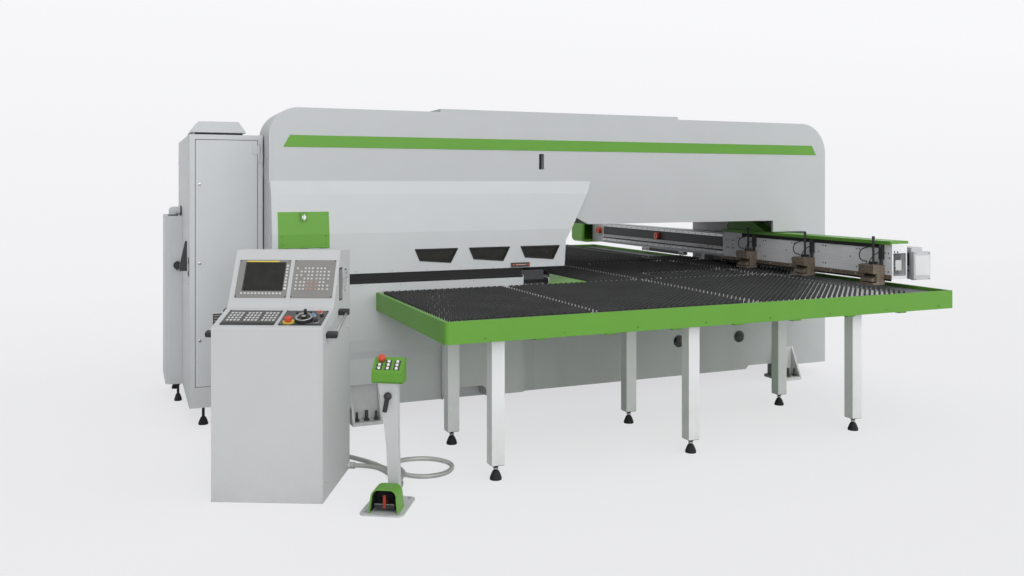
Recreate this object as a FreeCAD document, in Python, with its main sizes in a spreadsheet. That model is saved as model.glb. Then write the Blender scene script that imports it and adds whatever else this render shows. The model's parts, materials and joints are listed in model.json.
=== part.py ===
import FreeCAD, Part
import math
import os
import re

import Sketcher

# Turret punch press with a bridge frame, brush tables, a sheet carriage, cabinets, a console and a
# foot switch stand. Millimetres, +X along the frame to the right, +Y away from the operator, +Z up.
# The origin lies on the floor at the centre of the anchor bolts of the four foot plates.

Vector = FreeCAD.Vector

SIZES = {
    # bridge frame: a welded box with a throat for the sheet
    "frame_left": 2563, "frame_right": 2370, "frame_height": 2264, "frame_depth": 1740,
    "cheek_depth": 520, "cheek_reach": 163, "cheek_corner": 205, "cheek_overlap": 200,
    "floor_gap": 110, "frame_corner": 265, "column_width": 240,
    "throat_top": 1400, "brow_thick": 25, "brow_drop": 100, "brow_gap": 5,
    "throat_floor": 720, "bay_left": 1750, "bay_top": 1500,
    "bay_slope_start": 60, "bay_slope_run": 200,
    "base_end": 1490, "base_step": 30, "column_foot_inset": 290, "column_foot_corner": 40,
    "lift_hole_radius": 52, "lift_hole_height": 400, "lift_hole_near": 800, "lift_hole_far": 1417,
    "lift_hole_depth": 120,
    "hook_slot_x": 473, "hook_slot_width": 43, "hook_slot_length": 122, "hook_slot_bottom": 1837,
    "hook_slot_depth": 60,
    # feet
    "foot_reach": 1890, "foot_out": 115, "foot_length": 230, "foot_width": 220, "foot_plate": 25,
    "rib_height": 250, "rib_wall": 16, "rib_toe": 12, "rib_toe_inset": 5, "rib_root": 20,
    "foot_block": 150,
    "anchor_inset": 45, "anchor_spread": 140, "anchor_radius": 11, "jack_radius": 14,
    # roof, stripe
    "roof_left": 1289, "roof_right": 832, "roof_thick": 28, "roof_inset": 60,
    "stripe_drop": 280, "stripe_width": 84, "stripe_left": 2420, "stripe_right": 2217,
    "stripe_slant": 46, "sheet_metal": 3,
    # turret hood over the front and its twin at the back
    "hood_left": 2557, "hood_right": 39, "hood_top": 1745, "hood_bottom": 1085,
    "shoulder_height": 1648, "shoulder_out": 55, "knee_height": 1372, "knee_out": 105,
    "hood_out": 115, "slant_height": 1285, "slant_end": 313, "hood_wall": 4,
    "window_first": 1535, "window_pitch": 420, "window_width": 319, "window_top": 1242,
    "window_height": 97, "window_inset_left": 33, "window_inset_right": 53,
    "window_count": 3, "window_low_corner": 20, "pane_margin": 8, "glass_thick": 5,
    "hatch_left": 2516, "hatch_right": 2164, "hatch_bottom": 1281, "hatch_top": 1528,
    "hatch_border": 22, "hatch_pin": 5, "latch_width": 48, "latch_height": 63, "latch_thick": 9,
    "latch_drop": 6, "latch_wing": 8,
    "knob_radius": 15, "knob_length": 16, "seat_gap": 0.3, "running_gap": 0.06,
    # lower cover
    "skirt_out": 150, "rear_skirt_out": 95, "skirt_bottom": 140, "skirt_right": 694, "skirt_rail_top": 1030,
    "skirt_rail_wall": 60, "skirt_body_top": 915, "skirt_corner": 100, "ledge_top": 531,
    "ledge_drop": 51, "ledge_depth": 30, "ledge_end": 1345, "arch_left": 1341, "arch_right": 1001,
    "arch_height": 78, "arch_corner": 40, "fold_rise": 86, "fold_depth": 12,
    "notch_width": 250, "notch_top": 296,
    "seal_inset": 40, "seal_thick": 12,
    "sensor_left": 783, "sensor_length": 150, "sensor_bottom": 1092, "sensor_height": 32,
    "sensor_thick": 16, "sensor_head": 32, "sensor_waist": 4,
    # turrets and ram
    "turret_x": 960, "turret_radius": 640, "upper_disc_bottom": 1100, "upper_disc_thick": 80,
    "lower_disc_top": 950, "lower_disc_thick": 80, "station_circle": 520, "station_count": 18,
    "holder_radius": 42, "holder_height": 62, "punch_radius": 26, "punch_length": 40,
    "die_radius": 46, "die_height": 25, "spindle_radius": 70, "hub_radius": 170,
    "retainer_radius": 110, "retainer_thick": 20, "groove_depth": 12, "groove_width": 22,
    "ram_radius": 45, "ram_bottom": 1258, "ram_guide_bottom": 1300, "ram_guide_width": 220,
    "ram_clearance": 2, "ram_head_wall": 20,
    # tables
    "table_left": 1840, "table_inset": 320, "front_table_depth": 1520,
    "rim_top": 950, "rim_height": 127, "rim_wall": 25, "rim_corner": 25,
    "deck_top": 921, "deck_thick": 6, "centre_over": 100, "centre_left": 120, "seam": 5,
    "rear_table_depth": 1980, "cross_tube_width": 70, "cross_tube_height": 105, "cross_tube_count": 7,
    "cross_tube_first": 1240, "cross_tube_pitch": 470,
    "brush_pitch": 62, "brush_row": 24, "brush_top": 960, "brush_base": 6, "brush_margin": 4,
    "leg_side": 80, "leg_first": 1490, "leg_pitch": 1350, "leg_inset": 115,
    "leg_span": 780, "rear_leg_span": 1190, "leg_bottom": 90,
    "bell_radius": 35, "bell_height": 52, "bell_rim": 12, "bell_shoulder": 0.72,
    "collar_radius": 17, "collar_height": 14, "neck_radius": 10,
    "wedge_side": 340, "wedge_reach": 705, "wedge_top": 950,
    "pedestal_side": 90, "pedestal_left": 200, "pedestal_right": 120, "pedestal_inset": 220,
    "saddle_slot": 110,
    # cross slide
    "rail_row": 500, "cross_rail_width": 40, "cross_rail_height": 28, "cross_rail_left": 620,
    "saddle_thick": 60, "saddle_length": 110, "shoe_top": 35, "shoe_skirt": 18, "shoe_wall": 20,
    "beam_inset": 370, "beam_thick": 110, "beam_bottom": 1000, "beam_top": 1240,
    "beam_near": 2200, "beam_far": 2905, "beam_cap": 30, "beam_cap_side": 50,
    "beam_cap_front": 8, "beam_cap_drop": 4, "beam_cap_lower": 30, "rails_near_gap": 20,
    "rail_width": 26, "rail_thick": 25, "low_rail": 1028, "high_rail": 1200, "rails_far": 2600,
    "rack_bottom": 1072, "rack_height": 28, "rack_thick": 20,
    "end_cover_near": 2905, "end_cover_length": 290, "end_cover_reach": 150,
    "end_cover_bottom": 985, "end_cover_top": 1262, "end_cover_wall": 30, "end_cover_corner": 60,
    "end_cover_back": 20,
    "can_radius": 38, "can_length": 43, "can_middle": 1340, "can_end": 2700, "can_gap": 7,
    # sheet carriage
    "carriage_set_back": 195, "carriage_thick": 150, "carriage_bottom": 1006, "carriage_top": 1272,
    "carriage_near": 2200, "carriage_far": 110, "carriage_wall": 18, "carriage_mouth": 161,
    "mouth_floor": 30, "mouth_end_wall": 60,
    "shoe_long": 120, "shoe_rail_gap": 0.3, "shoe_lip": 14, "shoe_place": 250, "beam_clear": 2,
    "lid_over_front": 15, "lid_over_back": 13, "lid_top": 1292, "lid_lip": 26, "lid_wall": 6,
    "hump_height": 84, "hump_length": 580, "hump_set_back": 45, "hump_flat_near": 380,
    "hump_flat_far": 25,
    # sheet clamps
    "clamp_first": 2055, "clamp_pitch": 755, "clamp_width": 150, "clamp_reach": 115,
    "clamp_floor": 962, "clamp_top": 1110, "clamp_back": 30, "clamp_jaw_plate": 15,
    "clamp_head": 1045, "clamp_cheek": 18, "clamp_cheek_depth": 50, "jaw_gap": 8,
    "jaw_thick": 42, "jaw_set_back": 2, "jaw_heel": 6, "jaw_nose_run": 50, "jaw_nose": 20,
    "jaw_side_gap": 0.5, "pin_radius": 8,
    "post_radius": 9, "post_height": 215, "stub_width": 46, "stub_front": 24, "stub_back": 20,
    "stub_height": 22, "cylinder_radius": 13, "cylinder_height": 95, "cylinder_row": 52,
    # main cabinet
    "cabinet_left": 3071, "cabinet_right": 2572, "cabinet_front": 615, "cabinet_back": 875,
    "cabinet_bottom": 148, "cabinet_height": 2072, "cabinet_wall": 20, "panel_row": 700,
    "door_left": 3030, "door_right": 2610,
    "door_bottom": 296, "door_drop": 38, "door_thick": 22, "door_gap": 4, "hinge_radius": 9,
    "hinge_out": 12, "hinge_in": 10, "hinge_length": 60, "hinge_low": 420, "hinge_drop": 192,
    "hinge_leaf": 28, "hinge_strap": 45, "hinge_strap_foot": 25, "hinge_strap_thick": 5,
    "cowl_left": 3059, "cowl_right": 2686, "cowl_neck": 16, "cowl_height": 78, "cowl_slope": 52,
    "cowl_front": 597, "cowl_length": 420, "cowl_rim": 6, "neck_inset": 20,
    "hub_ring": 36, "hub_ring_length": 12,
    "lever_row": 548, "lever_height": 1128, "lever_tip": 1320, "lever_out": 62,
    "lever_tip_out": 25, "lever_width": 30, "lever_heel": 18, "lever_rise": 20,
    "lever_spindle": 14, "lever_socket": 30, "socket_end_gap": 2,
    "pad_height": 80, "pad_width": 100, "pad_inset": 40, "pad_low": 180, "pad_drop": 300,
    "cabinet_foot_radius": 34, "cabinet_foot_inset": 102, "cabinet_foot_row": 132,
    # side cabinet
    "side_left": 3195, "side_front": 300, "side_back": 870, "side_bottom": 140, "side_top": 1470,
    "side_chamfer": 35, "elbow_radius": 32, "elbow_rise": 72, "elbow_row": 420, "elbow_x": 3135,
    "side_foot_radius": 29, "side_foot_in": 95, "side_foot_front": 45, "side_foot_back": 60,
    "switch_radius": 30, "switch_length": 42, "switch_x": 3108, "switch_height": 1080,
    "switch_wing": 16, "switch_wing_over": 4, "switch_socket": 25,
    # operator console, in its own frame: x across, y away from the operator
    "console_x": -3051, "console_y": -2173, "console_turn": 25.9, "console_width": 612,
    "console_depth": 630, "desk_front_height": 945, "desk_back_height": 1020, "desk_depth": 240,
    "screen_back": 405, "console_height": 1337, "console_corner": 10, "console_wall": 16,
    "roof_fall": 12,
    "panel_thick": 4, "screen_panel_left": 30, "screen_panel_width": 300,
    "screen_panel_bottom": 60, "panel_height": 232, "screen_left": 42, "screen_bottom": 44,
    "screen_width": 228, "screen_height": 170, "glass_sink": 3, "glass_plate": 2,
    "soft_key": 11, "soft_key_rise": 3, "soft_row_left": 52, "soft_row_bottom": 16,
    "soft_row_pitch": 19, "soft_row_count": 12, "soft_column_left": 279,
    "soft_column_bottom": 52, "soft_column_pitch": 20, "soft_column_count": 8,
    "key_panel_left": 353, "key_panel_width": 242,
    "key_side": 13, "key_rise": 4, "key_pitch": 22, "key_rows": 7, "key_columns": 10,
    "key_first_x": 16, "key_first_y": 62,
    "desk_panel_front": 33, "desk_panel_depth": 177, "desk_keys_left": 33, "desk_keys_width": 302,
    "desk_ridge": 14, "desk_ridge_pitch": 21.5, "desk_ridge_count": 13, "desk_ridge_left": 16,
    "desk_ridge_front": 44, "desk_ridge_back": 19,
    "operator_left": 357, "operator_width": 238,
    "control_floor": 1, "estop_x": 406, "estop_y": 68, "estop_ring": 30,
    "estop_ring_height": 3, "estop_radius": 20, "estop_stem": 12, "estop_gap": 8,
    "estop_cap": 16, "estop_seat": 1,
    "wheel_x": 486, "wheel_y": 92, "wheel_radius": 50, "wheel_thick": 14, "wheel_lift": 6,
    "wheel_rim": 9, "wheel_dish": 5, "wheel_hub": 16, "wheel_hub_rise": 6, "crank_radius": 9,
    "crank_height": 26, "crank_reach": 36,
    "button_radius": 12, "button_height": 8, "start_x": 523, "start_y": 150, "stop_x": 551,
    "stop_y": 186, "mode_x": 556, "mode_y": 72, "mode_radius": 15, "mode_height": 18,
    "pointer_width": 7, "pointer_height": 8,
    "handle_front": 64, "handle_back": 352, "handle_height": -70, "handle_out": 48,
    "handle_radius": 11, "handle_block": 40, "handle_block_over": 14, "handle_block_height": 30,
    "vent_radius": 72, "vent_depth": 12, "vent_y": 520, "vent_z": 1150, "slat_pitch": 26,
    "slat_height": 9, "slat_inset": 3, "slat_share": 0.9,
    # foot switch stand, in its own frame: origin at the plate's centre
    "stand_x": -2188, "stand_y": -2618, "stand_turn": 30.9, "plate_width": 236,
    "plate_depth": 300, "plate_thick": 8, "plate_corner": 35, "post_row": 112,
    "post_foot_left": 20, "post_foot_right": 39, "post_waist": 300, "post_waist_left": 36,
    "post_waist_right": 30, "post_head": 520, "post_head_left": 60, "post_top_left": 84,
    "post_top_right": 27, "post_depth": 46, "post_top": 640,
    "box_shift": 26, "box_width": 170, "box_depth": 100, "box_bottom": 640, "box_front_top": 700,
    "box_back_top": 768, "box_bevel": 14, "box_slope_share": 0.72, "stand_button_radius": 8,
    "stand_button_rise": 5, "stand_button_pitch": 49, "stand_button_row": 22,
    "stand_button_first": 29, "stand_stop_shift": 8, "stand_stop_rows": 2.6,
    "stand_well": 17, "stand_stem": 10, "stand_cap_low": 8,
    "guard_width": 162, "guard_depth": 120, "guard_height": 122, "guard_wall": 7,
    "guard_corner": 40, "guard_front": 128, "guard_shift": 10, "guard_lean": 14,
    "guard_rake_low": 40, "guard_rake_run": 18, "ear_width": 12, "ear_gap": 1, "ear_reach": 14,
    "pedal_width": 62, "pedal_length": 70, "pedal_thick": 9, "pedal_lift": 34,
    "pedal_heel": 8, "pedal_axle": 4, "pedal_axle_over": 12.8, "pedal_rib": 12,
    "pedal_rib_rise": 7, "pedal_rib_front": 6, "pedal_rib_back": 12,
    "grip_radius": 22, "grip_rod": 9, "grip_length": 86, "grip_height": 574, "grip_out": 27,
    "grip_x": -19, "grip_tilt": 12, "grip_swell": 4, "grip_socket": 20, "grip_end_gap": 2,
    # flexible metal conduits
    "conduit_diameter": 28, "gland_length": 30, "gland_radius": 19, "gland_height": 22,
    "back_gland": 215, "side_gland": 600, "socket_x": 8, "socket_low": 33, "socket_high": 75,
}

# Places that follow from the sizes: feet and tables keep to the frame, the slide to its right column.
WORKED_OUT = {
    "foot_front": "frame_depth / 2 + foot_out", "anchor_row": "foot_front - anchor_inset",
    "table_right": "frame_right - table_inset", "table_back": "frame_depth / 2 + skirt_out",
    "table_front": "table_back + front_table_depth", "centre_half": "frame_depth / 2 + centre_over",
    "rear_table_back": "centre_half + rear_table_depth",
    "leg_front_row": "table_front - leg_inset", "leg_back_row": "leg_front_row - leg_span",
    "rear_leg_far": "rear_table_back - leg_inset", "rear_leg_near": "rear_leg_far - rear_leg_span",
    "beam_front": "frame_right - beam_inset", "carriage_front": "beam_front - carriage_set_back",
    "lid_front": "carriage_front - lid_over_front",
    "lid_back": "carriage_front + carriage_thick + lid_over_back",
    "hump_front": "carriage_front + hump_set_back",
}

doc = FreeCAD.newDocument("turret_punch_press")
sheet = doc.addObject("Spreadsheet::Sheet", "Sizes")
cells = list(SIZES.items()) + [(alias, f"={formula}") for alias, formula in WORKED_OUT.items()]
for row, (alias, value) in enumerate(cells, start=1):
    sheet.set(f"A{row}", alias)
    sheet.set(f"B{row}", str(value))
    sheet.setAlias(f"B{row}", alias)
doc.recompute()

X_AXIS = Vector(1, 0, 0)
Y_AXIS = Vector(0, 1, 0)
Z_AXIS = Vector(0, 0, 1)
nodes = []


# ---------------------------------------------------------------- building blocks

def link(formula):
    """Point every size name of a formula at its cell."""
    return re.sub(r"[a-z][a-z_]*", lambda word: "Sizes." + word.group(), str(formula))


def bind(thing, prop, formula):
    thing.setExpression(prop, link(formula))


def num(alias):
    """The value of one size, for counts, angles and turned frames."""
    return float(sheet.get(alias))


def node(label, thing, frame=None):
    """Give a finished sub-part its name and, for the turned units, its frame."""
    thing.Label = label
    if frame is not None:
        thing.Placement = frame
    nodes.append(thing)
    return thing


def move(thing, x="0", y="0", z="0"):
    for axis, formula in zip("xyz", (x, y, z)):
        bind(thing, f"Placement.Base.{axis}", formula)
    return thing


def box(x, y, z):
    """A block between a low and a high formula on each axis."""
    block = doc.addObject("Part::Box", "block")
    for side, axis, (low, high) in zip(("Length", "Width", "Height"), "xyz", (x, y, z)):
        bind(block, side, f"({high}) - ({low})")
        bind(block, f"Placement.Base.{axis}", low)
    return block


def rod(axis, centre, radius, span):
    """A cylinder along one axis; centre holds the other two places in x, y, z order."""
    turned = {"x": FreeCAD.Rotation(Y_AXIS, 90), "y": FreeCAD.Rotation(X_AXIS, -90),
              "z": FreeCAD.Rotation()}[axis]
    bar = doc.addObject("Part::Cylinder", "rod")
    bar.Placement = FreeCAD.Placement(Vector(), turned)
    bind(bar, "Radius", radius)
    bind(bar, "Height", f"({span[1]}) - ({span[0]})")
    places = dict(zip([a for a in "xyz" if a != axis], centre))
    places[axis] = span[0]
    return move(bar, **places)


def origin_item(body, role):
    return next(item for item in body.Origin.OriginFeatures if item.Role == role)


def outline(body, plane, points, offset="0"):
    """A closed sketch whose corners are held by formulas."""
    sketch = body.newObject("Sketcher::SketchObject", "outline")
    sketch.AttachmentSupport = [(origin_item(body, plane + "_Plane"), "")]
    sketch.MapMode = "FlatFace"
    bind(sketch, "AttachmentOffset.Base.z", offset)
    count = len(points)
    turn = 2 * math.pi / count
    spots = [Vector(100 * math.cos(turn * index), 100 * math.sin(turn * index), 0)
             for index in range(count)]
    for index in range(count):
        sketch.addGeometry(Part.LineSegment(spots[index], spots[(index + 1) % count]), False)
    for index in range(count):
        sketch.addConstraint(Sketcher.Constraint("Coincident", index, 2, (index + 1) % count, 1))
    for index, pair in enumerate(points):
        for kind, place, formula in zip(("DistanceX", "DistanceY"), tuple(spots[index]), pair):
            held = sketch.addConstraint(Sketcher.Constraint(kind, -1, 1, index, 1, place))
            bind(sketch, f"Constraints[{held}]", formula)
    return sketch


def ring(body, plane, centre, radius, offset="0"):
    """A circle sketch; centre and radius are formulas."""
    sketch = body.newObject("Sketcher::SketchObject", "ring")
    sketch.AttachmentSupport = [(origin_item(body, plane + "_Plane"), "")]
    sketch.MapMode = "FlatFace"
    bind(sketch, "AttachmentOffset.Base.z", offset)
    sketch.addGeometry(Part.Circle(Vector(1, 1, 0), Z_AXIS, 1), False)
    size = sketch.addConstraint(Sketcher.Constraint("Radius", 0, 1.0))
    bind(sketch, f"Constraints[{size}]", radius)
    for kind, formula in zip(("DistanceX", "DistanceY"), centre):
        held = sketch.addConstraint(Sketcher.Constraint(kind, -1, 1, 0, 3, 1.0))
        bind(sketch, f"Constraints[{held}]", formula)
    return sketch


def pad(body, sketch, length):
    feature = body.newObject("PartDesign::Pad", "pad")
    feature.Profile = sketch
    bind(feature, "Length", length)
    return feature


def prism(plane, points, span):
    """A pad of a closed outline from a low to a high formula along the plane's normal."""
    body = doc.addObject("PartDesign::Body", "prism")
    low, high = span
    start = f"-1 * ({high})" if plane == "XZ" else low
    pad(body, outline(body, plane, points, start), f"({high}) - ({low})")
    return body


def round_edges(body, radius, wanted):
    """Fillet the edges of a body that a test picks."""
    doc.recompute()
    base = body.Tip
    names = [f"Edge{number}" for number, edge in enumerate(base.Shape.Edges, start=1) if wanted(edge)]
    fillet = body.newObject("PartDesign::Fillet", "fillet")
    fillet.Base = (base, names)
    bind(fillet, "Radius", radius)
    body.Tip = fillet
    return body


def along(axis, *spots):
    """A test for straight edges along an axis that pass through given places."""
    others = [index for index in range(3) if "xyz"[index] != axis]

    def wanted(edge):
        ends = [vertex.Point for vertex in edge.Vertexes]
        if len(ends) != 2 or any(abs(ends[0][index] - ends[1][index]) > 0.01 for index in others):
            return False
        return any(all(abs(ends[0][index] - spot[slot]) < 0.5 for slot, index in enumerate(others))
                   for spot in spots)
    return wanted


def lathe(points):
    """A full turn of a half section given as radius and height."""
    body = doc.addObject("PartDesign::Body", "lathe")
    turn = body.newObject("PartDesign::Revolution", "turn")
    turn.Profile = outline(body, "XZ", points)
    turn.ReferenceAxis = (origin_item(body, "Z_Axis"), [""])
    turn.Angle = 360
    return body


def fuse(*pieces):
    whole = doc.addObject("Part::MultiFuse", "whole")
    whole.Shapes = list(pieces)
    whole.Refine = True
    return whole


def cut(base, *tools):
    hollow = doc.addObject("Part::Cut", "hollow")
    hollow.Base = base
    hollow.Tool = tools[0] if len(tools) == 1 else fuse(*tools)
    hollow.Refine = True
    return hollow


def group(*pieces):
    """Separate solids that share one node."""
    together = doc.addObject("Part::Compound", "group")
    together.Links = list(pieces)
    return together


def span_of(middle, width):
    return (f"({middle}) - ({width}) / 2", f"({middle}) + ({width}) / 2")


# ---------------------------------------------------------------- bridge frame and covers

HALF = "frame_depth / 2"
THROAT_RIGHT = "(frame_right - column_width)"


def build_frame():
    left, right, top = "-frame_left", "frame_right", "frame_height"
    inner_left = "-frame_left + cheek_reach"
    outer = prism("XZ", [(inner_left, "floor_gap"), ("base_end", "floor_gap"),
                         ("base_end + base_step", "floor_gap + base_step"),
                         ("frame_right - column_foot_inset - column_foot_corner",
                          "floor_gap + base_step"),
                         ("frame_right - column_foot_inset", "floor_gap"), (right, "floor_gap"),
                         (right, top), (inner_left, top)], (f"-{HALF}", HALF))
    high = num("frame_height")
    round_edges(outer, "frame_corner", along("y", (num("frame_right"), high)))
    round_edges(outer, "cheek_corner", along("y", (num("cheek_reach") - num("frame_left"), high)))
    joined = "-bay_left - cheek_overlap"
    cheek = prism("XZ", [(left, "floor_gap"), (joined, "floor_gap"), (joined, top), (left, top)],
                  (f"-{HALF}", f"-{HALF} + cheek_depth"))
    round_edges(cheek, "cheek_corner", along("y", (-num("frame_left"), high)))
    throat = prism("XZ", [("-bay_left", "throat_floor"), (THROAT_RIGHT, "throat_floor"),
                          (THROAT_RIGHT, "throat_top"), ("-bay_slope_start", "throat_top"),
                          ("-bay_slope_start - bay_slope_run", "bay_top"),
                          ("-bay_left", "bay_top")], (f"-{HALF} - 1", f"{HALF} + 1"))
    tools = [throat]
    for place in ("lift_hole_near", "lift_hole_far"):
        for low, high in ((f"-{HALF} - 1", f"-{HALF} + lift_hole_depth"),
                          (f"{HALF} - lift_hole_depth", f"{HALF} + 1")):
            tools.append(rod("y", (place, "lift_hole_height"), "lift_hole_radius", (low, high)))
    tools.append(box(span_of("-hook_slot_x", "hook_slot_width"),
                     (f"-{HALF} - 1", f"-{HALF} + hook_slot_depth"),
                     ("hook_slot_bottom", "hook_slot_bottom + hook_slot_length")))
    parts = [cut(fuse(outer, cheek), *tools)]
    for across in (-1, 1):
        for deep in (-1, 1):
            parts.append(build_foot(f"{across} * foot_reach", deep))
    return node("bridge_frame", fuse(*parts))


def build_foot(middle, deep):
    """A foot plate with its block, two wedge ribs, anchor holes and a jack screw hole."""
    def row(low, high):
        ends = (f"{deep} * ({low})", f"{deep} * ({high})")
        return ends if deep > 0 else ends[::-1]
    plate = box(span_of(middle, "foot_width"), row("foot_front - foot_length", "foot_front"),
                ("0", "foot_plate"))
    block = box(span_of(middle, "foot_block"), row("foot_front - foot_length", HALF),
                ("foot_plate", "floor_gap"))
    ribs = []
    for side in (-1, 1):
        edge = f"{middle} + {side} * (foot_width - rib_wall) / 2"
        profile = [(f"{deep} * ({HALF} - rib_root)", "foot_plate"),
                   (f"{deep} * (foot_front - rib_toe_inset)", "foot_plate"),
                   (f"{deep} * (foot_front - rib_toe_inset)", "foot_plate + rib_toe"),
                   (f"{deep} * {HALF}", "foot_plate + rib_height"),
                   (f"{deep} * ({HALF} - rib_root)", "foot_plate + rib_height")]
        ribs.append(prism("YZ", profile, span_of(edge, "rib_wall")))
    holes = [rod("z", (f"{middle} + {side} * anchor_spread / 2", f"{deep} * anchor_row"),
                 "anchor_radius", ("-1", "foot_plate + 1")) for side in (-1, 1)]
    holes.append(rod("z", (middle, f"{deep} * anchor_row"), "jack_radius",
                     ("-1", "foot_plate + 1")))
    return cut(fuse(plate, block, *ribs), *holes)


def build_roof():
    """The roof sheet, and the brow plate over the right end of the throat."""
    roof = box(("-roof_left", "roof_right"), (f"-{HALF} + roof_inset", f"{HALF} - roof_inset"),
               ("frame_height", "frame_height + roof_thick"))
    brow = box(("lid_front - brow_gap", THROAT_RIGHT), (f"-{HALF}", f"-{HALF} + brow_thick"),
               ("throat_top - brow_drop", "throat_top"))
    return node("roof_cover", group(roof, brow))


def build_stripe():
    bottom = "frame_height - stripe_drop"
    top = f"{bottom} + stripe_width"
    points = [("-stripe_left", top), ("-stripe_left - stripe_slant", bottom),
              ("stripe_right + stripe_slant", bottom), ("stripe_right", top)]
    return node("stripe_panel", prism("XZ", points, (f"-{HALF} - sheet_metal", f"-{HALF}")))


def hood_profile(deep, inset="0"):
    """The folded section of a hood, as depth and height, pulled in by the wall."""
    def out(reach):
        return f"{deep} * ({HALF} + {reach} - ({inset}))"
    return [(f"{deep} * {HALF}", f"hood_bottom + ({inset})"), (out("hood_out"), f"hood_bottom + ({inset})"),
            (out("knee_out"), "knee_height"), (out("shoulder_out"), f"shoulder_height - ({inset})"),
            (f"{deep} * {HALF}", f"hood_top - 2 * ({inset})")]


def hood_solid(deep, inset):
    """The hood's body with its slanted right end."""
    solid = prism("YZ", hood_profile(deep, inset),
                  (f"-hood_left + ({inset})", f"-hood_right - ({inset})"))
    rise = "(hood_top - slant_height)"
    slant = f"(slant_end - hood_right) / {rise}"
    high, low = "hood_top + 50", "hood_bottom - 50"
    beyond = prism("XZ", [(f"-hood_right - ({inset}) + 50 * {slant}", high),
                          (f"-slant_end - ({inset})", "slant_height"),
                          (f"-slant_end - ({inset}) - 20", low),
                          ("-hood_right + 200", low), ("-hood_right + 200", high)],
                   (f"-{HALF} - hood_out - 50", f"{HALF} + hood_out + 50"))
    return cut(solid, beyond)


def hood_shell(deep):
    """A folded hood, open to the frame and along its underside."""
    near, far = f"{deep} * ({HALF} - 1)", f"{deep} * ({HALF} + hood_out - 20)"
    under = box(("-hood_left + hood_wall", "-slant_end - hood_wall"),
                (far, near) if deep < 0 else (near, far),
                ("hood_bottom - 1", "hood_bottom + hood_wall + 1"))
    return cut(hood_solid(deep, "0"), hood_solid(deep, "hood_wall"), under)


def window_points(index, margin="0"):
    """One trapezoid window, wider at the top."""
    start = f"-window_first + {index} * window_pitch"
    low = "window_top - window_height"
    return [(f"{start} + ({margin})", f"window_top - ({margin})"),
            (f"{start} + window_inset_left + ({margin})", f"{low} + window_low_corner + ({margin})"),
            (f"{start} + window_width - window_inset_right - ({margin})", f"{low} + ({margin})"),
            (f"{start} + window_width - ({margin})", f"window_top - ({margin})")]


def build_hoods():
    shell = hood_shell(-1)
    face = (f"-{HALF} - hood_out - 30", f"-{HALF} - hood_out + 30")
    openings = [prism("XZ", window_points(index), face) for index in range(int(num("window_count")))]
    hatch_hole = box(("-hatch_left + hatch_border", "-hatch_right - hatch_border"), face,
                     ("hatch_bottom + hatch_border", "hatch_top - hatch_border"))
    node("front_hood", cut(shell, *openings, hatch_hole))
    rise = "(window_top + pane_margin - hood_bottom) / (knee_height - hood_bottom)"
    lean = f"(hood_out - knee_out) * {rise}"
    pane_face = f"-{HALF} - hood_out + hood_wall + {lean} + 0.1"
    panes = [prism("XZ", window_points(index, "-pane_margin"), (pane_face, f"{pane_face} + glass_thick"))
             for index in range(int(num("window_count")))]
    node("hood_windows", group(*panes))


def build_rear_covers():
    """The plain hood and lower cover on the far side."""
    skirt = box(("-hood_left", "-skirt_right"), (HALF, f"{HALF} + rear_skirt_out"),
                ("skirt_bottom", "skirt_body_top"))
    inside = box(("-hood_left + hood_wall", "-skirt_right - hood_wall"),
                 (f"{HALF} - 1", f"{HALF} + rear_skirt_out - hood_wall"),
                 ("skirt_bottom + hood_wall", "skirt_body_top - hood_wall"))
    deep = (f"{HALF} - 2", f"{HALF} + rear_skirt_out + 2")
    notch = box(span_of("-foot_reach", "notch_width"), deep, ("skirt_bottom - 1", "notch_top"))
    sleeve = box(span_of("-foot_reach", "notch_width + 2 * hood_wall"), deep,
                 ("skirt_bottom - 2", "notch_top + hood_wall"))
    node("rear_covers", group(hood_shell(1), cut(skirt, cut(inside, sleeve), notch)))


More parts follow.
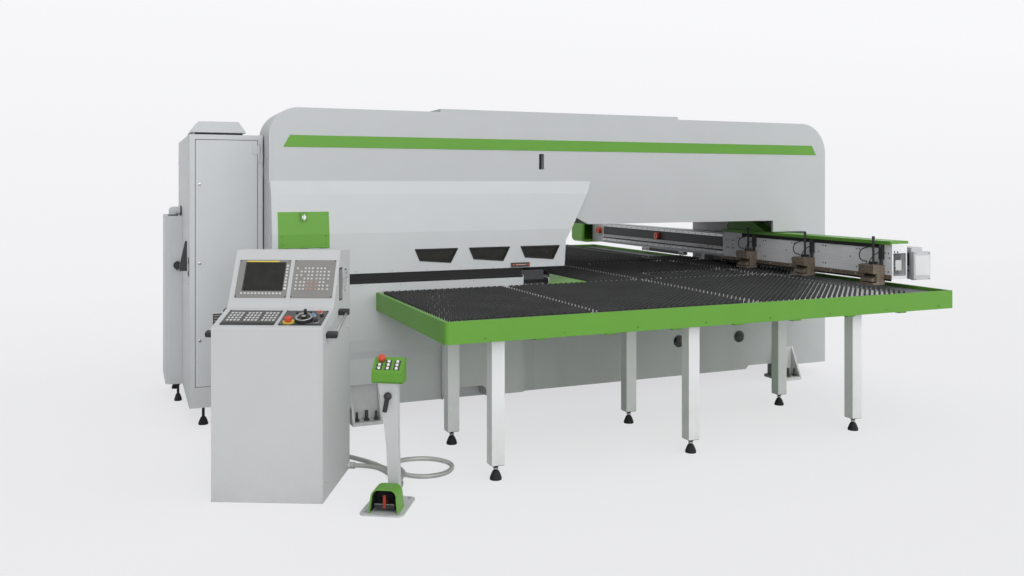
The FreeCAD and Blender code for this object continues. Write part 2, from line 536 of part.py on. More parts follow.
def build_hatch():
    """A bent door over the hood's knee, on a hinge rod along its lower edge."""
    def out(reach, lift):
        return f"-{HALF} - {reach} - seat_gap - ({lift})"
    slope_high = "(knee_out - shoulder_out) / (shoulder_height - knee_height)"
    slope_low = "(hood_out - knee_out) / (knee_height - hood_bottom)"
    top_out = f"(knee_out - (hatch_top - knee_height) * {slope_high})"
    low_out = f"(knee_out + (knee_height - hatch_bottom) * {slope_low})"
    plate = prism("YZ", [(out(low_out, "0"), "hatch_bottom"),
                         (out(low_out, "sheet_metal"), "hatch_bottom"),
                         (out("knee_out", "sheet_metal"), "knee_height"),
                         (out(top_out, "sheet_metal"), "hatch_top"),
                         (out(top_out, "0"), "hatch_top"), (out("knee_out", "0"), "knee_height")],
                  ("-hatch_left", "-hatch_right"))
    pin = rod("x", (out(low_out, "hatch_pin"), "hatch_bottom"), "hatch_pin",
              ("-hatch_left", "-hatch_right"))
    middle = "-(hatch_left + hatch_right) / 2"
    latch_z = ("hatch_top - latch_height - latch_drop", "hatch_top - latch_drop")
    latch_out = f"(knee_out - ({latch_z[0]} - knee_height) * {slope_high})"
    crest_out = f"(knee_out - ({latch_z[1]} - knee_height) * {slope_high})"
    latch_face = out(latch_out, "sheet_metal + latch_thick - 4")
    bezel = prism("YZ", [(latch_face, latch_z[0]), (latch_face, latch_z[1]),
                         (out(crest_out, "1"), latch_z[1]), (out(latch_out, "1"), latch_z[0])],
                  span_of(middle, "latch_width"))
    knob_z = "hatch_top - latch_height / 2 - latch_drop"
    bore = rod("y", (middle, knob_z), "knob_radius + running_gap",
               (f"({latch_face}) - 1", f"({latch_face}) + latch_thick - 3"))
    node("hood_hatch", cut(fuse(plate, pin, bezel), bore))
    knob = rod("y", (middle, knob_z), "knob_radius",
               (f"({latch_face}) - knob_length + 6", f"({latch_face}) + latch_thick - 3"))
    wing = box(span_of(middle, "latch_wing"), (f"({latch_face}) - knob_length", f"({latch_face}) - 2"),
               span_of(knob_z, "knob_radius * 2 + 12"))
    node("hatch_latch", fuse(knob, wing))


def build_skirt():
    """The lower cover: ledge, lift truck arch, eased corner and the guide rail on its top."""
    front = f"(-{HALF} - skirt_out)"
    body = prism("XY", [("-hood_left", f"-{HALF}"), ("-hood_left", front),
                        ("-skirt_right", front), ("-skirt_right + skirt_out", f"-{HALF}")],
                 ("skirt_bottom", "skirt_body_top"))
    round_edges(body, "skirt_corner",
                along("z", (-num("skirt_right"), -num("frame_depth") / 2 - num("skirt_out"))))
    ledge = prism("YZ", [(f"{front} - 1", "skirt_bottom - 1"),
                         (f"{front} + ledge_depth", "skirt_bottom - 1"),
                         (f"{front} + ledge_depth", "ledge_top - ledge_drop"),
                         (f"{front} + fold_depth", "ledge_top"),
                         (front, "ledge_top + fold_rise"), (f"{front} - 1", "ledge_top + fold_rise")],
                  ("-hood_left - 1", "-ledge_end"))
    notch = box(span_of("-foot_reach", "notch_width"), (f"{front} - 1", f"-{HALF} + 1"),
                ("skirt_bottom - 1", "notch_top"))
    arch = prism("XZ", [("-arch_left", "skirt_bottom - 60"), ("-arch_right", "skirt_bottom - 60"),
                        ("-arch_right", "skirt_bottom + arch_height"),
                        ("-arch_left", "skirt_bottom + arch_height")], (f"{front} - 1", f"-{HALF} - 4"))
    arch_top = num("skirt_bottom") + num("arch_height")
    round_edges(arch, "arch_corner", along("y", (-num("arch_left"), arch_top),
                                           (-num("arch_right"), arch_top)))
    inside = box(("-hood_left + hood_wall", "-skirt_right - skirt_corner"),
                 (f"{front} + ledge_depth + hood_wall", f"-{HALF} + 1"),
                 ("skirt_bottom + hood_wall", "skirt_body_top - hood_wall"))
    lining = box(("-arch_left - hood_wall", "-arch_right + hood_wall"), (f"{front} - 2", f"-{HALF} + 2"),
                 ("skirt_bottom - 2", "skirt_bottom + arch_height + hood_wall"))
    rail = box(("-hood_left", "-skirt_right"), (front, f"{front} + skirt_rail_wall"),
               ("skirt_body_top", "skirt_rail_top"))
    sleeve = box(span_of("-foot_reach", "notch_width + 2 * hood_wall"), (f"{front} - 2", f"-{HALF} + 2"),
                 ("skirt_bottom - 2", "notch_top + hood_wall"))
    node("front_skirt", fuse(cut(body, ledge, arch, notch, cut(inside, lining, sleeve)), rail))
    node("slot_seal", box(("-hood_left + 10", "-skirt_right"),
                          (f"{front} + seal_inset", f"{front} + seal_inset + seal_thick"),
                          ("skirt_rail_top", "hood_bottom")))


def build_sensor():
    face = f"-{HALF} - hood_out"
    ends = ("-sensor_left", "-sensor_left + sensor_length")
    tall = ("sensor_bottom", "sensor_bottom + sensor_height")
    bar = box(ends, (f"{face} - sensor_thick", face), tall)
    waist = box((f"{ends[0]} + sensor_head", f"{ends[1]} - sensor_head"),
                (f"{face} - sensor_thick - 1", f"{face} - sensor_thick + sensor_waist"),
                ("sensor_bottom - 1", "sensor_bottom + sensor_height + 1"))
    node("sensor_bar", cut(bar, waist))


# ---------------------------------------------------------------- turrets and ram

def station_pattern(body, feature, count, angle):
    pattern = body.newObject("PartDesign::PolarPattern", "stations")
    pattern.Originals = [feature]
    pattern.Axis = (origin_item(body, "Z_Axis"), [""])
    pattern.Angle = angle
    pattern.Occurrences = count
    body.Tip = pattern
    return pattern


def build_turret(label, disc, top_tool, low_tool):
    """A tool disc with a spindle bore, a rim groove, tools at each station and one bare station.

    Each tool is a radius, a height where it starts and a length.
    """
    low, high = disc
    count = int(num("station_count"))
    middle = f"(({low}) + ({high})) / 2"
    body = lathe([("spindle_radius + running_gap", low), ("turret_radius", low),
                  ("turret_radius", f"{middle} - groove_width / 2"),
                  ("turret_radius - groove_depth", f"{middle} - groove_width / 2"),
                  ("turret_radius - groove_depth", f"{middle} + groove_width / 2"),
                  ("turret_radius", f"{middle} + groove_width / 2"), ("turret_radius", high),
                  ("spindle_radius + running_gap", high)])
    angle = 360.0 * (count - 2) / count
    for radius, start, length in (top_tool, low_tool):
        if radius is None:
            continue
        tool = pad(body, ring(body, "XY", ("station_circle", "0"), radius, start), length)
        station_pattern(body, tool, count - 1, angle)
    doc.recompute()
    bore = body.newObject("PartDesign::Pocket", "bare_station")
    step = 2 * math.pi / count
    spot = (f"station_circle * {math.cos(step):.9f}", f"-station_circle * {math.sin(step):.9f}")
    bore.Profile = ring(body, "XY", spot, "ram_radius + ram_clearance", f"({high}) + 1")
    bore.Type = 0
    bind(bore, "Length", f"({high}) - ({low}) + 2")
    body.Tip = bore
    body.Placement = FreeCAD.Placement(Vector(), FreeCAD.Rotation(Z_AXIS, math.degrees(step)))
    move(body, "-turret_x")
    return node(label, body)


def build_turrets():
    upper = ("upper_disc_bottom", "upper_disc_bottom + upper_disc_thick")
    lower = ("lower_disc_top - lower_disc_thick", "lower_disc_top")
    build_turret("upper_turret", upper, ("holder_radius", upper[1], "holder_height"),
                 ("punch_radius", "upper_disc_bottom - punch_length", "punch_length"))
    build_turret("lower_turret", lower, ("die_radius", "lower_disc_top", "die_height"),
                 (None, None, None))
    place = ("-turret_x", "0")
    top_hub = rod("z", place, "hub_radius", (f"{upper[1]} + seat_gap", "bay_top"))
    top_spindle = rod("z", place, "spindle_radius", (upper[0], upper[1] + " + 1"))
    retainer = rod("z", place, "retainer_radius", ("upper_disc_bottom - retainer_thick", upper[0]))
    low_hub = rod("z", place, "hub_radius", ("throat_floor", lower[0]))
    low_spindle = rod("z", place, "spindle_radius", (lower[0], lower[1]))
    node("turret_hubs", group(fuse(top_hub, top_spindle, retainer), fuse(low_hub, low_spindle)))


def build_ram():
    middle = "-turret_x + station_circle"
    guide = box(span_of(middle, "ram_guide_width"), span_of("0", "ram_guide_width"),
                ("ram_guide_bottom", "bay_top"))
    bore_top = "bay_top - ram_head_wall"
    bore = rod("z", (middle, "0"), "ram_radius + running_gap", ("ram_guide_bottom - 1", bore_top))
    node("ram_cylinder", cut(guide, bore))
    node("ram", rod("z", (middle, "0"), "ram_radius", ("ram_bottom", f"{bore_top} - seat_gap")))


# ---------------------------------------------------------------- brush tables

def table_tray(front, back, deep):
    """A deck with a rim on its outer three sides and cross tubes under it."""
    tall = ("rim_top - rim_height", "rim_top")
    outer_edge, inner_edge = (front, back) if deep < 0 else (back, front)
    frame = prism("XY", [("-table_left", inner_edge), ("-table_left", outer_edge),
                         ("table_right", outer_edge), ("table_right", inner_edge)], tall)
    edge = -num("table_front") if deep < 0 else num("rear_table_back")
    round_edges(frame, "rim_corner", along("z", (-num("table_left"), edge), (num("table_right"), edge)))
    wall_in = f"({outer_edge}) - {deep} * rim_wall"
    beyond = f"({inner_edge}) - {deep} * 1"
    hollow_y = (wall_in, beyond) if deep < 0 else (beyond, wall_in)
    hollow = box(("-table_left + rim_wall", "table_right - rim_wall"), hollow_y,
                 ("rim_top - rim_height - 1", "rim_top + 1"))
    deck_y = (wall_in, inner_edge) if deep < 0 else (inner_edge, wall_in)
    deck = box(("-table_left + rim_wall", "table_right - rim_wall"), deck_y,
               ("deck_top - deck_thick", "deck_top"))
    under = "deck_top - deck_thick"
    tubes = [box(span_of(f"-cross_tube_first + {index} * cross_tube_pitch", "cross_tube_width"),
                 deck_y, (f"{under} - cross_tube_height", under))
             for index in range(int(num("cross_tube_count")))]
    return fuse(cut(frame, hollow), deck, *tubes)


def brush_mat(x, y):
    """Rows of brush strips on a backing, laid along the frame."""
    body = doc.addObject("PartDesign::Body", "brushes")
    base = [(x[0], y[0]), (x[1], y[0]), (x[1], y[1]), (x[0], y[1])]
    backing = pad(body, outline(body, "XY", base, "deck_top"), "brush_base")
    doc.recompute()
    room = backing.Shape.BoundBox.YLength - num("brush_row")
    rows = int(room // num("brush_pitch")) + 1
    strip_y = (y[0], f"({y[0]}) + brush_row")
    strip = [(x[0], strip_y[0]), (x[1], strip_y[0]), (x[1], strip_y[1]), (x[0], strip_y[1])]
    row = pad(body, outline(body, "XY", strip, "deck_top + brush_base"),
              "brush_top - deck_top - brush_base")
    doc.recompute()
    pattern = body.newObject("PartDesign::LinearPattern", "rows")
    pattern.Originals = [row]
    pattern.Direction = (origin_item(body, "Y_Axis"), [""])
    bind(pattern, "Length", f"brush_pitch * {rows - 1}")
    pattern.Occurrences = rows
    body.Tip = pattern
    return body


def build_tables():
    node("front_table", table_tray("-table_front", "-table_back", -1))
    node("rear_table", table_tray("centre_half", "rear_table_back", 1))
    inner_x = ("-table_left + rim_wall + brush_margin", "table_right - rim_wall - brush_margin")
    mats = [brush_mat(inner_x, ("-table_front + rim_wall + brush_margin", "-table_back - brush_margin")),
            brush_mat(inner_x, ("centre_half + brush_margin",
                                "rear_table_back - rim_wall - brush_margin"))]
    node("brush_mats", group(*mats, *build_centre_table()))
    build_legs()


def centre_strips(low_x, high_x, grow="0"):
    """Spans of the centre table beside and between the two saddle slots, pulled in by grow."""
    slot = f"(saddle_slot / 2 + ({grow}))"
    return [((f"{low_x}", f"{high_x}"), (f"-centre_half + ({grow})", f"-rail_row - {slot}")),
            ((f"{low_x}", f"{high_x}"), (f"-rail_row + {slot}", f"rail_row - {slot}")),
            ((f"{low_x}", f"{high_x}"), (f"rail_row + {slot}", f"centre_half - ({grow})"))]


def build_centre_table():
    left, right = "-centre_left", "table_right"
    thick = ("deck_top - deck_thick", "deck_top")
    deck = box((left, "cross_rail_left"), ("-centre_half", "centre_half"), thick)
    strips = [box(x, y, thick) for x, y in centre_strips("cross_rail_left", right)]
    apron = box((left, right), ("-table_back", "-centre_half"), thick)
    posts = []
    for x in (f"{left} + pedestal_left", f"{right} - pedestal_right"):
        for y in ("-centre_half + pedestal_inset", "0", "centre_half - pedestal_inset"):
            posts.append(box(span_of(x, "pedestal_side"), span_of(y, "pedestal_side"),
                             ("throat_floor", thick[0])))
    node("centre_table", fuse(deck, apron, *strips, *posts))
    near = "-centre_half - seam"
    wedge = prism("XY", [("-centre_left", near), ("-centre_left", f"{near} + wedge_reach"),
                         ("-centre_left - wedge_side", near)],
                  ("deck_top - deck_thick", "wedge_top"))
    node("corner_plate", wedge)
    mats = [brush_mat((f"{left} + 2", "cross_rail_left"),
                      ("-centre_half + brush_margin", "centre_half - brush_margin"))]
    for x, y in centre_strips("cross_rail_left + 2", f"{right} - brush_margin", "brush_margin"):
        mats.append(brush_mat(x, y))
    return mats


def leg_places():
    for column in range(3):
        x = f"-leg_first + {column} * leg_pitch"
        for y in ("-leg_front_row", "-leg_back_row", "rear_leg_near", "rear_leg_far"):
            yield x, y


def bell_foot(x, y, radius="bell_radius", top="leg_bottom"):
    """A bell foot with a neck and a collar that meets the tube above."""
    body = lathe([("0", "0"), (radius, "0"), (radius, "bell_rim"),
                  (f"({radius}) * bell_shoulder", "bell_height * bell_shoulder"),
                  ("collar_radius", "bell_height"), ("neck_radius", "bell_height + 4"),
                  ("neck_radius", f"({top}) - collar_height - 2"),
                  ("collar_radius", f"({top}) - collar_height"), ("collar_radius", top), ("0", top)])
    return move(body, x, y)


def build_legs():
    legs = [box(span_of(x, "leg_side"), span_of(y, "leg_side"),
                ("leg_bottom", "deck_top - deck_thick")) for x, y in leg_places()]
    for leg in legs:
        leg.Label = "leg"
    node("table_legs", group(*legs))
    feet = [bell_foot(x, y) for x, y in leg_places()]
    for x in ("-cabinet_left + cabinet_foot_inset", "-cabinet_right - cabinet_foot_inset"):
        for y in ("-cabinet_front + cabinet_foot_row", "cabinet_back - cabinet_foot_row"):
            feet.append(bell_foot(x, y, "cabinet_foot_radius", "cabinet_bottom"))
    for y in ("side_front + side_foot_front", "side_back - side_foot_back"):
        feet.append(bell_foot("-side_left + side_foot_in", y, "side_foot_radius", "side_bottom"))
    node("levelling_feet", group(*feet))


# ---------------------------------------------------------------- cross slide, beam and carriage

BEAM_BACK = "(beam_front + beam_thick)"


def build_cross_slide():
    rails = [box(("cross_rail_left", THROAT_RIGHT), span_of(f"{side} * rail_row", "cross_rail_width"),
                 ("throat_floor", "throat_floor + cross_rail_height")) for side in (-1, 1)]
    node("cross_rails", group(*rails))


def build_beam():
    """The cross beam, its two saddle plates and their shoes on the rails."""
    ends = ("-beam_near", "beam_far")
    tall = ("beam_bottom", "beam_top")
    outer = box(("beam_front", BEAM_BACK), ends, tall)
    cap = box(("beam_front - beam_cap_front", f"{BEAM_BACK} + beam_cap_side"),
              ("-beam_near - beam_cap", "-beam_near"),
              ("beam_bottom - beam_cap_drop", "beam_top - beam_cap_lower"))
    saddles = []
    rail_top = "(throat_floor + cross_rail_height)"
    for side in (-1, 1):
        plate = box(("beam_front", BEAM_BACK), span_of(f"{side} * rail_row", "saddle_thick"),
                    (f"{rail_top} + shoe_top", "beam_bottom"))
        shoe = box((f"{BEAM_BACK} - saddle_length * 2", f"{BEAM_BACK}"),
                   span_of(f"{side} * rail_row", "cross_rail_width + 2 * shoe_wall"),
                   (f"{rail_top} - shoe_skirt", f"{rail_top} + shoe_top"))
        groove = box((f"{BEAM_BACK} - saddle_length * 2 - 1", f"{BEAM_BACK} + 1"),
                     span_of(f"{side} * rail_row", "cross_rail_width + 2 * seat_gap"),
                     (f"{rail_top} - shoe_skirt - 1", rail_top))
        saddles.append(cut(fuse(plate, shoe), groove))
    node("bridge_beam", fuse(outer, cap, *saddles))


def build_beam_fittings():
    face = ("beam_front - rail_thick", "beam_front")
    run = ("-beam_near + rails_near_gap", "rails_far")
    rails = [box(face, run, (height, f"{height} + rail_width")) for height in ("low_rail", "high_rail")]
    rack = box(("beam_front - rack_thick", "beam_front"), run,
               ("rack_bottom", "rack_bottom + rack_height"))
    node("beam_rails", group(*rails, rack))
    front = "(beam_front - end_cover_reach)"
    back = f"{BEAM_BACK} + end_cover_back"
    cover = prism("XZ", [(front, "end_cover_bottom"), (back, "end_cover_bottom"),
                         (back, "end_cover_top"), (front, "end_cover_top")],
                  ("end_cover_near", "end_cover_near + end_cover_length"))
    x_front = num("beam_front") - num("end_cover_reach")
    round_edges(cover, "end_cover_corner", along("y", (x_front, num("end_cover_bottom")),
                                                 (x_front, num("end_cover_top"))))
    hollow = box((f"{front} + end_cover_wall", BEAM_BACK),
                 ("end_cover_near - 1", "end_cover_near + end_cover_length - end_cover_wall"),
                 ("end_cover_bottom + end_cover_wall", "end_cover_top - end_cover_wall"))
    node("beam_end_cover", cut(cover, hollow))
    height = "rack_bottom + rack_height + can_gap + can_radius"
    cans = [rod("x", (place, height), "can_radius", ("beam_front - can_length", "beam_front"))
            for place in ("can_middle", "can_end")]
    node("lubricators", group(*cans))


def build_carriage():
    """A box section with an open near end and shoes on the beam's rails."""
    back = "(carriage_front + carriage_thick)"
    outer = box(("carriage_front", back), ("-carriage_near", "-carriage_far"),
                ("carriage_bottom", "carriage_top"))
    mouth_low = "carriage_bottom + mouth_floor"
    hollow = box(("carriage_front + carriage_wall", f"{back} - carriage_wall"),
                 ("-carriage_near - 1", "-carriage_far - mouth_end_wall"),
                 (mouth_low, f"{mouth_low} + carriage_mouth"))
    pieces = []
    for height in ("low_rail", "high_rail"):
        for y in ("-carriage_near + shoe_place", "-carriage_far - shoe_place"):
            shoe = box((back, "beam_front - beam_clear"), span_of(y, "shoe_long"),
                       (f"{height} - shoe_lip", f"{height} + rail_width + shoe_lip"))
            groove = box(("beam_front - rail_thick - shoe_rail_gap", "beam_front"),
                         span_of(y, "shoe_long + 2"),
                         (f"{height} - shoe_rail_gap", f"{height} + rail_width + shoe_rail_gap"))
            pieces.append(cut(shoe, groove))
    node("carriage_beam", fuse(cut(outer, hollow), *pieces))
    lid = prism("XZ", [("lid_front", "lid_top - lid_lip"), ("lid_front + lid_wall", "lid_top - lid_lip"),
                       ("lid_front + lid_wall", "carriage_top"), (back, "carriage_top"),
                       ("lid_back", "carriage_top"), ("lid_back", "lid_top"), ("lid_front", "lid_top")],
                ("-carriage_near", "-carriage_far"))
    hump = prism("YZ", [("-carriage_far", "lid_top - 2"), ("-carriage_far - hump_length", "lid_top - 2"),
                        ("-carriage_far - hump_flat_near", "lid_top + hump_height"),
                        ("-carriage_far - hump_flat_far", "lid_top + hump_height - 10"),
                        ("-carriage_far", "lid_top + hump_height - 50")], ("hump_front", "lid_back"))
    node("carriage_cover", fuse(lid, hump))


def clamp_rows():
    return [f"-clamp_first + {index} * clamp_pitch" for index in range(3)]


def build_clamps():
    """Three clamps: a forked body on the carriage, a hinged jaw in its mouth and an air cylinder."""
    tip = "(carriage_front - clamp_reach)"
    pivot_x = "(carriage_front - clamp_back - clamp_cheek_depth / 2)"
    pivot_z = "(clamp_floor + clamp_jaw_plate + jaw_gap + jaw_thick / 2)"
    bodies, posts = [], []
    for index, row in enumerate(clamp_rows(), start=1):
        wide = span_of(row, "clamp_width")
        spine = box(("carriage_front - clamp_back", "carriage_front"), wide, ("clamp_floor", "clamp_top"))
        floor = box((tip, "carriage_front - clamp_back"), wide,
                    ("clamp_floor", "clamp_floor + clamp_jaw_plate"))
        head = box((tip, "carriage_front - clamp_back"), wide, ("clamp_head", "clamp_top"))
        cheeks = [box(("carriage_front - clamp_back - clamp_cheek_depth", "carriage_front - clamp_back"),
                      (f"({edge}) - clamp_cheek / 2", f"({edge}) + clamp_cheek / 2"),
                      ("clamp_floor + clamp_jaw_plate", "clamp_head"))
                  for edge in (f"{row} - (clamp_width - clamp_cheek) / 2",
                               f"{row} + (clamp_width - clamp_cheek) / 2")]
        bore = rod("y", (pivot_x, pivot_z), "pin_radius + running_gap",
                   (f"{wide[0]} - 1", f"{wide[1]} + 1"))
        bodies.append(cut(fuse(spine, floor, head, *cheeks), bore))
        jaw_wide = span_of(row, "clamp_width - 2 * clamp_cheek - 2 * jaw_side_gap")
        low = "clamp_floor + clamp_jaw_plate + jaw_gap"
        nose, heel = f"{tip} + jaw_set_back", "carriage_front - clamp_back - jaw_heel"
        jaw = prism("XZ", [(nose, low), (heel, low), (heel, f"{low} + jaw_thick"),
                           (f"{tip} + jaw_nose_run", f"{low} + jaw_thick"),
                           (nose, f"{low} + jaw_nose")], jaw_wide)
        pin = rod("y", (pivot_x, pivot_z), "pin_radius", wide)
        node(f"clamp_jaw_{index}", fuse(jaw, pin))
        post_x = "(carriage_front - clamp_back - post_radius)"
        stub = box((f"{post_x} - stub_front", f"{post_x} + stub_back"), span_of(row, "stub_width"),
                   ("clamp_top", "clamp_top + stub_height"))
        post = rod("z", (post_x, row), "post_radius",
                   ("clamp_top + stub_height - 2", "clamp_top + post_height"))
        cylinder = rod("z", ("carriage_front - cylinder_radius - seat_gap", f"{row} - cylinder_row"),
                       "cylinder_radius", ("clamp_top", "clamp_top + cylinder_height"))
        posts += [fuse(stub, post), cylinder]
    node("clamp_bodies", group(*bodies))
    node("clamp_posts", group(*posts))


# ---------------------------------------------------------------- cabinets

DOOR_TOP = "(cabinet_height - door_drop)"
HINGES = ("hinge_low", "(cabinet_height - hinge_drop)")
HINGE_AXIS = ("(-door_right + hinge_in)", "(-cabinet_front - hinge_out)")


def build_cowl():
    """The vent cowl on a low neck on the cabinet's top."""
    neck = box(("-cowl_left + neck_inset", "-cowl_right - neck_inset"),
               ("-cowl_front + neck_inset", "-cowl_front + cowl_length - neck_inset"),
               ("cabinet_height", "cabinet_height + cowl_neck"))
    low = "cabinet_height + cowl_neck"
    high = f"{low} + cowl_height"
    cowl = prism("XZ", [("-cowl_left", low), ("-cowl_right", low), ("-cowl_right", f"{low} + cowl_rim"),
                        ("-cowl_right - cowl_slope", high), ("-cowl_left + cowl_slope", high),
                        ("-cowl_left", f"{low} + cowl_rim")],
                 ("-cowl_front", "-cowl_front + cowl_length"))
    return [neck, cowl]


def build_cabinet():
    """The switch cabinet: a hollow case with its mounting panel, cowl, hinges and door."""
    shell = box(("-cabinet_left", "-cabinet_right"), ("-cabinet_front", "cabinet_back"),
                ("cabinet_bottom", "cabinet_height"))
    recess = box(("-door_left - door_gap", "-door_right + door_gap"),
                 ("-cabinet_front - 1", "-cabinet_front + door_thick + door_gap"),
                 ("door_bottom - door_gap", f"{DOOR_TOP} + door_gap"))
    inside = box(("-cabinet_left + cabinet_wall", "-cabinet_right - cabinet_wall"),
                 ("-cabinet_front + door_thick + door_gap + cabinet_wall", "cabinet_back - cabinet_wall"),
                 ("cabinet_bottom + cabinet_wall", "cabinet_height - cabinet_wall"))
    doorway = box(("-door_left + cabinet_wall", "-door_right - cabinet_wall"),
                  ("-cabinet_front", "-cabinet_front + door_thick + door_gap + cabinet_wall + 1"),
                  ("door_bottom + cabinet_wall", f"{DOOR_TOP} - cabinet_wall"))
    panel = box(("-cabinet_left + cabinet_wall - 1", "-cabinet_right - cabinet_wall + 1"),
                span_of("panel_row", "cabinet_wall"),
                ("cabinet_bottom + cabinet_wall - 1", "cabinet_height - cabinet_wall + 1"))
    axis_x, axis_y = HINGE_AXIS
    lugs = []
    for height in HINGES:
        span = (height, f"{height} + hinge_length")
        lugs.append(rod("z", HINGE_AXIS, "hinge_radius", span))
        lugs.append(box((axis_x, f"{axis_x} + hinge_leaf"), (axis_y, "-cabinet_front"), span))
    hub = rod("x", ("-lever_row", "lever_height"), "hub_ring",
              ("-cabinet_left - hub_ring_length", "-cabinet_left"))
    bore = rod("x", ("-lever_row", "lever_height"), "lever_spindle + running_gap",
               ("-cabinet_left - hub_ring_length - 1", "-cabinet_left + lever_socket"))
    pad_front = "-cabinet_front + pad_inset"
    pads = [box(("-cabinet_right", "-frame_left"), (pad_front, f"{pad_front} + pad_width"),
                (height, f"{height} + pad_height"))
            for height in ("cabinet_bottom + pad_low", "cabinet_height - pad_drop")]
    case = cut(shell, recess, inside, doorway)
    node("main_cabinet", cut(fuse(case, panel, hub, *build_cowl(), *lugs, *pads), bore))
    build_door()
    build_lever()


def build_door():
    """The cabinet's door with the hinge barrels and their cranked straps."""
    axis_x, axis_y = HINGE_AXIS
    leaf = box(("-door_left", "-door_right"), ("-cabinet_front", "-cabinet_front + door_thick"),
               ("door_bottom", DOOR_TOP))
    barrels = []
    for height in HINGES:
        span = (f"{height} + hinge_length", f"{height} + 2 * hinge_length")
        end = f"{axis_x} - hinge_strap"
        barrels.append(rod("z", HINGE_AXIS, "hinge_radius", span))
        barrels.append(box((end, axis_x), (axis_y, f"{axis_y} + hinge_strap_thick"), span))
        barrels.append(box((end, f"{end} + hinge_strap_foot"), (axis_y, "-cabinet_front"), span))
    node("cabinet_door", fuse(leaf, *barrels))


def build_lever():
    """The isolator's tapered lever on its spindle."""
    outside = "-cabinet_left - hub_ring_length - seat_gap"
    far = "-cabinet_left - lever_out"
    lever = prism("XZ", [(outside, "lever_height - lever_heel"), (outside, "lever_tip"),
                         ("-cabinet_left - lever_tip_out", "lever_tip"),
                         (far, "lever_height + lever_rise"), (far, "lever_height - lever_heel")],
                  span_of("-lever_row", "lever_width"))
    spindle = rod("x", ("-lever_row", "lever_height"), "lever_spindle",
                  (f"{outside} - 10", "-cabinet_left + lever_socket - socket_end_gap"))
    node("cabinet_lever", fuse(lever, spindle))


def build_side_cabinet():
    shell = prism("XY", [("-side_left + side_chamfer", "side_front"), ("-cabinet_left", "side_front"),
                         ("-cabinet_left", "side_back"), ("-side_left", "side_back"),
                         ("-side_left", "side_front + side_chamfer")], ("side_bottom", "side_top"))
    bend = "side_top + elbow_rise - elbow_radius"
    riser = rod("z", ("-elbow_x", "elbow_row"), "elbow_radius", ("side_top", bend))
    across = rod("x", ("elbow_row", bend), "elbow_radius", ("-elbow_x", "-cabinet_left"))
    ball = doc.addObject("Part::Sphere", "ball")
    bind(ball, "Radius", "elbow_radius")
    move(ball, "-elbow_x", "elbow_row", bend)
    bore = rod("y", ("-switch_x", "switch_height"), "lever_spindle + running_gap",
               ("side_front - 1", "side_front + switch_socket"))
    node("side_cabinet", cut(fuse(shell, riser, across, ball), bore))
    face = "side_front - seat_gap"
    knob = rod("y", ("-switch_x", "switch_height"), "switch_radius", (f"{face} - switch_length * 0.5", face))
    wing = box(span_of("-switch_x", "switch_wing"), (f"{face} - switch_length", f"{face} - 5"),
               span_of("switch_height", "2 * (switch_radius + switch_wing_over)"))
    spindle = rod("y", ("-switch_x", "switch_height"), "lever_spindle",
                  (f"{face} - 5", "side_front + switch_socket - socket_end_gap"))
    node("side_switch", fuse(knob, wing, spindle))


# ---------------------------------------------------------------- operator console

ESTOP, WHEEL = ("estop_x", "estop_y"), ("wheel_x", "wheel_y")
START, STOP, MODE = ("start_x", "start_y"), ("stop_x", "stop_y"), ("mode_x", "mode_y")
RING_TOP = "(panel_thick + estop_ring_height)"


def console_frame():
    return FreeCAD.Placement(Vector(num("console_x"), num("console_y"), 0),
                             FreeCAD.Rotation(Z_AXIS, -num("console_turn")))


def slope_frame(near, far):
    """The console's frame tipped onto one of its sloping faces: x across, y up it, z out of it."""
    tilt = math.degrees(math.atan2(far[1] - near[1], far[0] - near[0]))
    return console_frame().multiply(FreeCAD.Placement(Vector(0, near[0], near[1]),
                                                      FreeCAD.Rotation(X_AXIS, tilt)))


def desk_frame():
    return slope_frame((0, num("desk_front_height")), (num("desk_depth"), num("desk_back_height")))


def screen_frame():
    return slope_frame((num("desk_depth"), num("desk_back_height")),
                       (num("screen_back"), num("console_height")))


def build_console():
    profile = [("0", "0"), ("console_depth", "0"), ("console_depth", "console_height - roof_fall"),
               ("screen_back", "console_height"), ("desk_depth", "desk_back_height"),
               ("0", "desk_front_height")]
    housing = prism("YZ", profile, ("0", "console_width"))
    places = [("desk_front_height", 0), ("console_height", num("screen_back"))]
    round_edges(housing, "console_corner",
                along("x", *[(depth, num(height)) for height, depth in places]))
    vents = [rod("x", ("vent_y", "vent_z"), "vent_radius", span)
             for span in (("console_width - vent_depth", "console_width + 1"), ("-1", "vent_depth"))]
    slat_depth = span_of("vent_y", "2 * vent_radius * slat_share")
    slats = []
    for index in range(-2, 3):
        height = span_of(f"vent_z + {index} * slat_pitch", "slat_height")
        for span in (("console_width - vent_depth", "console_width - slat_inset"),
                     ("slat_inset", "vent_depth")):
            slats.append(box(span, slat_depth, height))
    back_gland, side_gland = gland_places()
    glands = [rod("y", (back_gland[0], back_gland[2]), "gland_radius",
                  ("console_depth - 1", f"console_depth + gland_length")),
              rod("x", (side_gland[1], side_gland[2]), "gland_radius",
                  ("console_width - 1", f"console_width + gland_length"))]
    inside = prism("YZ", [("console_wall", "-1"), ("console_depth - console_wall", "-1"),
                          ("console_depth - console_wall", "console_height - roof_fall - console_wall"),
                          ("screen_back + console_wall / 2", "console_height - 2 * console_wall"),
                          ("desk_depth + console_wall / 2", "desk_back_height - 2 * console_wall"),
                          ("console_wall", "desk_front_height - console_wall")],
                   ("console_wall", "console_width - console_wall"))
    node("console_housing", fuse(cut(housing, inside, *vents), *slats, *glands), console_frame())
    build_screen()
    build_keyboard()
    build_desk()
    build_handles()


